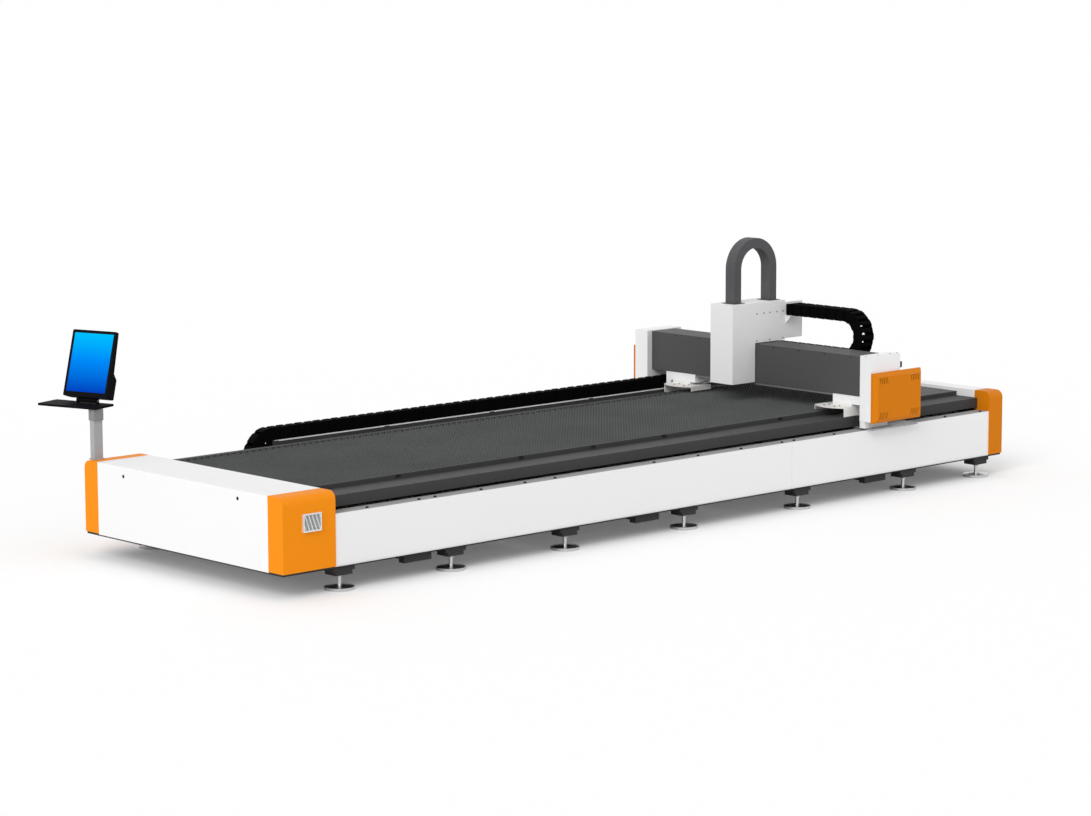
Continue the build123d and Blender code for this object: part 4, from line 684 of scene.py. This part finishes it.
# %% Plastic finishes
make_finish(
    "chain_plastic", moulded,
    {
        "Color": (0.0025, 0.0025, 0.0025, 1),
        "Rub Color": (0.008, 0.008, 0.008, 1),
        "Rub": 0.4,
        "Gloss Floor": 0.50,
    },
    bump=0.0003,
    specular=0.01,
)
make_finish(
    "hose_plastic", moulded,
    {
        "Color": (0.085, 0.085, 0.090, 1),
        "Rub Color": (0.14, 0.14, 0.14, 1),
        "Rub": 0.3,
        "Gloss Floor": 0.45,
    },
    bump=0.0003,
)
make_finish(
    "casing_plastic", moulded,
    {
        "Color": (0.006, 0.006, 0.007, 1),
        "Rub Color": (0.02, 0.02, 0.02, 1),
        "Rub": 0.2,
        "Gloss Floor": 0.45,
    },
    specular=0.02,
)
make_finish(
    "rubber_seal", moulded,
    {
        "Color": (0.010, 0.010, 0.010, 1),
        "Rub Color": (0.04, 0.04, 0.04, 1),
        "Rub": 0.5,
        "Gloss Floor": 0.55,
    },
    bump=0.0003,
)
print("finishes:", len(finishes))

# %% [markdown]
# The lit screen
#
# The console's screen glows with a plain gradient from cyan at the top to deep blue
# at the foot. Height above the desk drives a colour ramp, which feeds the emission. The
# face mirrors nothing, so the white studio does not wash the colours out.

# %% Screen finish
screen_low, screen_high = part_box("screen_glass")
screen_finish = bpy.data.materials.new("screen_glow")
screen_finish.use_nodes = True
tree = screen_finish.node_tree
tree.nodes.clear()
spot = tree.nodes.new("ShaderNodeSeparateXYZ")
tree.links.new(tree.nodes.new("ShaderNodeTexCoord").outputs["Object"], spot.inputs[0])
span = tree.nodes.new("ShaderNodeMapRange")
span.inputs["From Min"].default_value = screen_low.z
span.inputs["From Max"].default_value = screen_high.z
tree.links.new(spot.outputs["Z"], span.inputs["Value"])
ramp = tree.nodes.new("ShaderNodeValToRGB")
ramp.color_ramp.elements[0].color = (0.0, 0.055, 0.52, 1)
ramp.color_ramp.elements[1].color = (0.0, 0.53, 1.0, 1)
middle_stop = ramp.color_ramp.elements.new(0.55)
middle_stop.color = (0.0, 0.26, 0.95, 1)
tree.links.new(span.outputs["Result"], ramp.inputs["Fac"])
shader = tree.nodes.new("ShaderNodeBsdfPrincipled")
shader.inputs["Base Color"].default_value = (0.0, 0.0, 0.0, 1)
shader.inputs["Roughness"].default_value = 0.20
shader.inputs["Specular IOR Level"].default_value = 0.0
shader.inputs["Emission Strength"].default_value = 1.0
tree.links.new(ramp.outputs["Color"], shader.inputs["Emission Color"])
ending = tree.nodes.new("ShaderNodeOutputMaterial")
tree.links.new(shader.outputs[0], ending.inputs["Surface"])
print("screen from", round(screen_low.z, 3), "to", round(screen_high.z, 3))

# %% [markdown]
# Dress the solids
#
# Every solid of the machine keeps its shape and gets its finish.

# %% Finish for every solid
dress = {
    "white_paint": "side_panels front_housing rear_housing gantry_end_near gantry_end_far head_cover_front "
    "head_cover_rear chain_plate beam_brackets",
    "orange_paint": "corner_covers_front",
    "orange_painted_shade": "corner_covers_rear drive_guards",
    "ledge_paint": "side_ledges",
    "frame_paint": "bed_frame low_cross_members foot_brackets chain_arm",
    "cover_paint": "rail_covers y_chain_tray x_chain_tray",
    "beam_paint": "gantry_beam",
    "deck_steel": "slat_combs slats slat_support scrap_trays rear_deck_plate",
    "shelf_paint": "rail_guards",
    "pole_paint": "console_column",
    "sleeve_paint": "console_sleeve",
    "motor_paint": "x_drive_motors y_drive_motor z_motor",
    "polished_steel": "levelling_feet x_rails y_rails z_rails screen_hinge_pin",
    "zinc_steel": "lock_nuts x_bearing_blocks y_bearing_blocks",
    "rack_steel": "x_racks y_rack x_pinion_near x_pinion_far y_pinion gantry_saddles z_screw",
    "plate_aluminium": "carriage_frame z_slide",
    "vent_silver": "side_vent",
    "strip_metal": "beam_strip",
    "head_aluminium": "collimator lens_housing",
    "nozzle_brass": "nozzle",
    "chain_plastic": "x_energy_chain y_energy_chain",
    "hose_plastic": "hose_loop",
    "casing_plastic": "screen_casing console_desk",
}
dressed = set()
for finish_name, node_names in dress.items():
    for node_name in node_names.split():
        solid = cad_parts[node_name]
        solid.data.materials.clear()
        solid.data.materials.append(finishes[finish_name])
        dressed.add(node_name)
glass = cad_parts["screen_glass"]
glass.data.materials.clear()
glass.data.materials.append(screen_finish)
dressed.add("screen_glass")
print("dressed:", len(dressed), "left:", sorted(set(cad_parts) - dressed))

# %% [markdown]
# Toothed slats
#
# The sheet to be cut rests on steel slats that stand on edge. Their tops are cut like
# a saw, so the sheet touches only points and the beam burns little of them. The CAD
# model has plain bars. Here each bar gets its teeth: a strip of faces whose top edge
# goes up and down, closed by a second strip behind it. One mesh holds them all.

# %% Toothed slats
SLATS = 103
SLAT_STEP = 0.060
SLAT_THICK = 0.004
TOOTH_STEP = 0.0305
TOOTH_DEPTH = 0.014
slat_low, slat_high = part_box("slats")
teeth = int((slat_high.y - slat_low.y) / TOOTH_STEP)
half_step = (slat_high.y - slat_low.y) / (2 * teeth)


def slat_side(mesh, x):
    """The top and the bottom points along one side of a slat"""
    tops = []
    feet = []
    for k in range(2 * teeth + 1):
        y = slat_low.y + k * half_step
        z = slat_high.z - (TOOTH_DEPTH if k % 2 == 0 else 0)
        tops.append(mesh.verts.new((x, y, z)))
        feet.append(mesh.verts.new((x, y, slat_low.z)))
    return tops, feet


slat_mesh = bmesh.new()
for i in range(SLATS):
    front = slat_low.x + i * SLAT_STEP
    tops_a, feet_a = slat_side(slat_mesh, front)
    tops_b, feet_b = slat_side(slat_mesh, front + SLAT_THICK)
    for k in range(2 * teeth):
        slat_mesh.faces.new((feet_a[k + 1], feet_a[k], tops_a[k], tops_a[k + 1]))
        slat_mesh.faces.new((feet_b[k], feet_b[k + 1], tops_b[k + 1], tops_b[k]))
        slat_mesh.faces.new((tops_a[k + 1], tops_a[k], tops_b[k], tops_b[k + 1]))
        slat_mesh.faces.new((feet_a[k], feet_a[k + 1], feet_b[k + 1], feet_b[k]))
    slat_mesh.faces.new((feet_a[0], feet_b[0], tops_b[0], tops_a[0]))
    slat_mesh.faces.new((feet_b[-1], feet_a[-1], tops_a[-1], tops_b[-1]))
toothed_slats = make_piece("toothed_slats", slat_mesh, "bed", finishes["slat_steel"])
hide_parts("slats")
print("slats:", SLATS, "teeth on each:", teeth, "faces:", len(toothed_slats.data.polygons))

# %% [markdown]
# Chain links
#
# An energy chain is a row of open plastic frames. Each link has two side plates and a
# cross bar above and below, and the plates of one link reach into those of the next,
# where a pivot joins them. A chain lies along a path of straight runs and arcs, so
# one helper walks along such a path and a second one bends a flat band over it. Every
# plate and bar is such a band, which keeps the links closed and smooth in the bends.

# %% Walking along a chain
def walk(chain, distance):
    """Place and heading after a distance along the runs of a chain"""
    u, v = chain["start"]
    heading = chain["heading"]
    last = len(chain["runs"]) - 1
    for number, (length, turning) in enumerate(chain["runs"]):
        ends_here = distance <= length or number == last
        step = distance if ends_here else length
        if turning:
            new_heading = heading + turning * step
            u += (math.sin(new_heading) - math.sin(heading)) / turning
            v -= (math.cos(new_heading) - math.cos(heading)) / turning
            heading = new_heading
        else:
            u += step * math.cos(heading)
            v += step * math.sin(heading)
        if ends_here:
            break
        distance -= step
    return u, v, heading


def add_band(mesh, chain, stations, heights, sides, taper):
    """A closed slab over some stations of a path, between two heights and two sides"""
    low, high = heights
    rows = []
    for i, (u, v, heading) in enumerate(stations):
        cut = taper if i in (0, len(stations) - 1) else 0.0
        section = (
            (low + cut, sides[0]),
            (high - cut, sides[0]),
            (high - cut, sides[1]),
            (low + cut, sides[1]),
        )
        row = []
        for height, side in section:
            spot = (u - height * math.sin(heading), v + height * math.cos(heading))
            row.append(mesh.verts.new(chain["place"](*spot, side)))
        rows.append(row)
    for a, b in zip(rows, rows[1:]):
        for i in range(4):
            j = (i + 1) % 4
            mesh.faces.new((a[i], a[j], b[j], b[i]))
    mesh.faces.new(rows[0][::-1])
    mesh.faces.new(rows[-1])


print("path helpers ready")

# %% One link and a row of links
LINK_REACH = 0.011
PLATE_THICK = 0.005
PLATE_STEP = 0.006
PLATE_TAPER = 0.012
PIVOT_RADIUS = 0.011
PIVOT_PROUD = 0.0012
PIVOT_CORNERS = 10
BAR_SHORT = 0.010
BAR_SUNK = 0.001
BAR_THICK = 0.006
BAR_INSET = 0.011
BAR_TAPER = 0.0015
STATIONS = 5


def stations_between(chain, a, b):
    """Evenly spaced stations of a path between two distances"""
    return [walk(chain, a + (b - a) * i / (STATIONS - 1)) for i in range(STATIONS)]


def add_pivot(mesh, chain, distance, side, sign):
    """A flat round boss on the outside of a side plate"""
    u, v, heading = walk(chain, distance)
    outline = []
    for k in range(PIVOT_CORNERS):
        a = 2 * math.pi * k / PIVOT_CORNERS
        spot = (u + PIVOT_RADIUS * math.cos(a), v + PIVOT_RADIUS * math.sin(a))
        outline.append(chain["place"](*spot, sign * side))
    lift = chain["place"](0, 0, sign * PIVOT_PROUD) - chain["place"](0, 0, 0)
    add_prism(mesh, outline, lift)


def add_link(mesh, chain, s0, s1, outside):
    """One link between two distances along the path"""
    half = chain["height"] / 2
    side = chain["width"] / 2 - (0.0 if outside else PLATE_STEP)
    plate = stations_between(chain, s0 - LINK_REACH, s1 + LINK_REACH)
    for sign in (1, -1):
        faces_at = (sign * side, sign * (side - PLATE_THICK))
        add_band(mesh, chain, plate, (-half, half), faces_at, PLATE_TAPER)
        if outside:
            add_pivot(mesh, chain, s0, side, sign)
            add_pivot(mesh, chain, s1, side, sign)
    bar = stations_between(chain, s0 + BAR_SHORT, s1 - BAR_SHORT)
    inner = chain["width"] / 2 - BAR_INSET
    top = half - BAR_SUNK
    add_band(mesh, chain, bar, (top - BAR_THICK, top), (-inner, inner), BAR_TAPER)
    add_band(mesh, chain, bar, (-top, -top + BAR_THICK), (-inner, inner), BAR_TAPER)


def make_links(name, chain, numbers):
    """The links with the given numbers, as one mesh"""
    mesh = bmesh.new()
    for number in numbers:
        s0 = sum(chain["pitches"][:number])
        add_link(mesh, chain, s0, s0 + chain["pitches"][number], number % 2 == 0)
    bmesh.ops.recalc_face_normals(mesh, faces=mesh.faces)
    piece = make_piece(name, mesh, None, finishes["chain_plastic"])
    print(name, "links:", len(numbers), "faces:", len(piece.data.polygons))
    return piece


print("link helpers ready")

# %% [markdown]
# The long chain beside the bed
#
# Its fixed end stands on a small foot and turns up into the long lower run. Behind
# the gantry it bends over, and its short upper run ends at the gantry's arm. When the
# gantry travels, the bend travels half as far. So the chain is made in three pieces:
# the lower run from the bed to the bend, the bend, and the upper run from the bend to
# the gantry.

# %% Long chain
long_y = 2345
long_low = 706.5
long_tail = 1726
long_turn = 6766
long_arm = 6226
long_pitch = 0.09
tail_links = 3
lower_links = 56
bend_links = 5
upper_links = 6
tail_radius = tail_links * long_pitch / (math.pi / 2)
bend_radius = 0.150
bend_length = math.pi * bend_radius
bend_pitch = bend_length / bend_links
turn_first = tail_links + lower_links
arm_first = turn_first + bend_links


def long_place(u, v, side):
    """Along the bed, height and side offset of the long chain as a scene point"""
    return place(u * 1000, long_y - side * 1000, v * 1000)


long_chain = {
    "start": (long_tail / 1000 - tail_radius, long_low / 1000 - tail_radius),
    "heading": math.pi / 2,
    "runs": [
        (tail_links * long_pitch, -1 / tail_radius),
        ((long_turn - long_tail) / 1000, 0.0),
        (bend_length, 1 / bend_radius),
        ((long_turn - long_arm) / 1000, 0.0),
    ],
    "pitches": [long_pitch] * turn_first + [bend_pitch] * bend_links + [long_pitch] * upper_links,
    "height": 0.097,
    "width": 0.090,
    "place": long_place,
}
long_lower = make_links("long_chain_lower", long_chain, range(0, turn_first))
long_bend = make_links("long_chain_bend", long_chain, range(turn_first, arm_first))
long_upper = make_links("long_chain_upper", long_chain, range(arm_first, arm_first + upper_links))
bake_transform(long_lower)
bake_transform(long_bend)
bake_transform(long_upper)
for piece in (long_lower, long_bend, long_upper):
    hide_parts("x_energy_chain")

# %% [markdown]
# The chain of the head
#
# The same links, a little wider, run behind the beam: the lower run lies in its tray,
# the bend stands at the near end, and the upper run goes back to the head.

# %% Head chain
head_x = 6316
head_high = 1390
head_turn = 573
head_radius = 0.166
head_bend_links = 11
head_lower_links = 19
head_upper_links = 13
head_links = head_lower_links + head_bend_links + head_upper_links
head_pitch = math.pi * head_radius / head_bend_links
head_fixed = head_turn / 1000 + head_lower_links * head_pitch


def head_place(u, v, side):
    """Across the bed, height and side offset of the head chain as a scene point"""
    return place(head_x + side * 1000, u * 1000, v * 1000)


head_chain = {
    "start": (head_fixed, head_high / 1000 - 2 * head_radius),
    "heading": math.pi,
    "runs": [
        (head_lower_links * head_pitch, 0.0),
        (head_bend_links * head_pitch, -1 / head_radius),
        (head_upper_links * head_pitch, 0.0),
    ],
    "pitches": [head_pitch] * head_links,
    "height": 0.096,
    "width": 0.146,
    "place": head_place,
}
bend_end = head_lower_links + head_bend_links
head_lower = make_links("head_chain_lower", head_chain, range(0, head_lower_links))
head_bend = make_links("head_chain_bend", head_chain, range(head_lower_links, bend_end))
head_upper = make_links("head_chain_upper", head_chain, range(bend_end, head_links))
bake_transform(head_lower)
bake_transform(head_bend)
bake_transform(head_upper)
for piece in (head_lower, head_bend, head_upper):
    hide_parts("y_energy_chain")

# %% [markdown]
# Screws
#
# Small screws are what makes sheet metal believable. They are collected in one mesh for
# each body that they ride on. The heads are round with a sunk middle.

# %% Screws of the bed
BED_WIDTH = 2300
LEDGE_TOP = 544
LEDGE_SCREW_Y = 40
LEDGE_SCREW = (0.011, 0.010)
COVER_TOP = 644
COVER_SCREW_Y = 150
FLAT_SCREW = (0.006, 0.002)
UP = (0, 0, 1)
bed_screws = bmesh.new()
ledge_spots = [
    772, 1244, 1393, 1826, 2251, 2547, 3561, 4031,
    4502, 4962, 5099, 5564, 6015, 6454, 6914, 7360,
]
for x in ledge_spots:
    add_screw(bed_screws, place(x, LEDGE_SCREW_Y, LEDGE_TOP), UP, *LEDGE_SCREW)
    add_screw(bed_screws, place(x, BED_WIDTH - LEDGE_SCREW_Y, LEDGE_TOP), UP, *LEDGE_SCREW)
for x in range(700, 7300, 600):
    add_screw(bed_screws, place(x, COVER_SCREW_Y, COVER_TOP), UP, *FLAT_SCREW)
    add_screw(bed_screws, place(x, BED_WIDTH - COVER_SCREW_Y, COVER_TOP), UP, *FLAT_SCREW)
make_piece("bed_screws", bed_screws, "bed", finishes["screw_black"])
print("screws on the ledges:", 2 * len(ledge_spots))

# %% Plugs in the front panel
PLUG_SPOTS = ((1821, 638), (492, 646))
PLUG_PROFILE = ((0.0005, 0.012), (-0.002, 0.012), (-0.003, 0.010), (-0.0012, 0.007))
PLUG_CORNERS = 20
plug_mesh = bmesh.new()
for y, z in PLUG_SPOTS:
    spot = place(0, y, z)
    rings = []
    for depth, radius in PLUG_PROFILE:
        rings.append(round_points(spot + Vector((depth, 0, 0)), (-1, 0, 0), radius, PLUG_CORNERS))
    add_ring(plug_mesh, rings)
make_piece("front_plugs", plug_mesh, "bed", finishes["rubber_seal"])
print("front plugs:", len(PLUG_SPOTS))

# %% Latches of the deck edge
LATCH_HALF = 22
LATCH_LOW = 656
LATCH_HIGH = 676
LATCH_SIDES = ((351.2, 353), (1947, 1948.8))
latch_spots = (1320, 2500, 3230, 3980, 5275)
latch_mesh = bmesh.new()
for x in latch_spots:
    for y0, y1 in LATCH_SIDES:
        add_box(latch_mesh, place(x - LATCH_HALF, y0, LATCH_LOW), place(x + LATCH_HALF, y1, LATCH_HIGH))
make_piece("deck_latches", latch_mesh, "bed", finishes["rubber_seal"])
print("latches:", len(LATCH_SIDES) * len(latch_spots))

# %% Screws of the gantry
END_INNER = 57.5
END_TOP = 1142
END_MIDDLE = -30
SHELF_TOP = 722
BEAM_FRONT = 5883
BEAM_SCREW_Z = 1120
END_SCREW = (0.006, 0.003)
SHELF_SCREW = (0.007, 0.004)
gantry_screws = bmesh.new()
for x in (5905, 6210):
    for z in (640, 760, 880, 1000, 1120):
        add_screw(gantry_screws, place(x, END_INNER, z), (0, 1, 0), *END_SCREW)
for x in (5850, 5995, 6140, 6225):
    add_screw(gantry_screws, place(x, END_MIDDLE, END_TOP), UP, *END_SCREW)
for y in (250, 360):
    for x in (5800, 5860):
        add_screw(gantry_screws, place(x, y, SHELF_TOP), UP, *SHELF_SCREW)
        add_screw(gantry_screws, place(x, BED_WIDTH - y, SHELF_TOP), UP, *SHELF_SCREW)
for y in range(160, 2400, 280):
    add_screw(gantry_screws, place(BEAM_FRONT, y, BEAM_SCREW_Z), (-1, 0, 0), *FLAT_SCREW)
make_piece("gantry_screws", gantry_screws, "gantry", finishes["screw_black"])
print("gantry screws set")

# %% Screws of the head covers
HEAD_NEAR = 1193
HEAD_FAR = 1443
head_rows = ((1380, (5893, 5975, 6048, 6130, 6204)), (1157, (5895, 6048, 6205)))
head_screws = bmesh.new()
for z, spots in head_rows:
    for x in spots:
        add_screw(head_screws, place(x, HEAD_NEAR, z), (0, -1, 0), *FLAT_SCREW)
        add_screw(head_screws, place(x, HEAD_FAR, z), (0, 1, 0), *FLAT_SCREW)
make_piece("head_screws", head_screws, "carriage", finishes["screw_black"])
print("head screw rows:", len(head_rows))

# %% [markdown]
# Small plates
#
# A few thin sheets finish the picture: a pale edge strip beside the long chain, a
# black gusset in the curl where that chain stands up, a dark sheet behind the slits of
# each guard as painted shade, a grey sheet behind the vent, and a dark strip under the
# side panels as a painted shade line.

# %% Edge strip and gusset of the long chain
GUSSET_Y = 2303
GUSSET_THICK = 0.004
GUSSET_STEPS = 12
CHAIN_HALF = 0.048
strip_mesh = bmesh.new()
add_box(strip_mesh, place(1740, 2294.4, 648), place(7298, 2296.2, 657))
make_piece("chain_edge_strip", strip_mesh, "bed", finishes["white_paint"])
gusset_mesh = bmesh.new()
curl_z = long_low - tail_radius * 1000
reach = (tail_radius - CHAIN_HALF) * 1000
gusset = [place(long_tail, GUSSET_Y, curl_z)]
for k in range(GUSSET_STEPS + 1):
    a = math.pi / 2 + math.pi / 2 * k / GUSSET_STEPS
    gusset.append(place(long_tail + reach * math.cos(a), GUSSET_Y, curl_z + reach * math.sin(a)))
add_prism(gusset_mesh, gusset, Vector((0, GUSSET_THICK, 0)))
make_piece("chain_gusset", gusset_mesh, "bed", finishes["chain_plastic"])
print("edge strip and gusset set")

# %% Painted shade behind the slits, and a sheet behind the vent
SHEET = 1.5
BACKING_LOW = 646
BACKING_HIGH = 968
# Dark sheets behind the slits of the guards: painted shade inside the guards.
slit_shade_mesh = bmesh.new()
for x0, x1, y0 in ((5920, 6423, -98), (5866, 6369, 2582.5)):
    add_box(slit_shade_mesh, place(x0, y0, BACKING_LOW), place(x1, y0 + SHEET, BACKING_HIGH))
make_piece("slit_painted_shade", slit_shade_mesh, "gantry", finishes["rubber_seal"])
vent_mesh = bmesh.new()
add_box(vent_mesh, place(172, -3.5, 458), place(318, -3.5 + SHEET, 572))
make_piece("vent_backing", vent_mesh, "bed", finishes["ledge_paint"])
print("backings set")

# %% Painted shade line under the side panels
# A thin dark strip at the foot of each side panel: painted shade under the panel edge.
SHADE_LINE_WIDTH = 5
shade_line_mesh = bmesh.new()
for y0 in (0.5, 2294.5):
    add_box(shade_line_mesh, place(462, y0, 171), place(7432, y0 + SHADE_LINE_WIDTH, 175.5))
make_piece("panel_shade_line", shade_line_mesh, "bed", finishes["rubber_seal"])
print("shade_lines: 2")
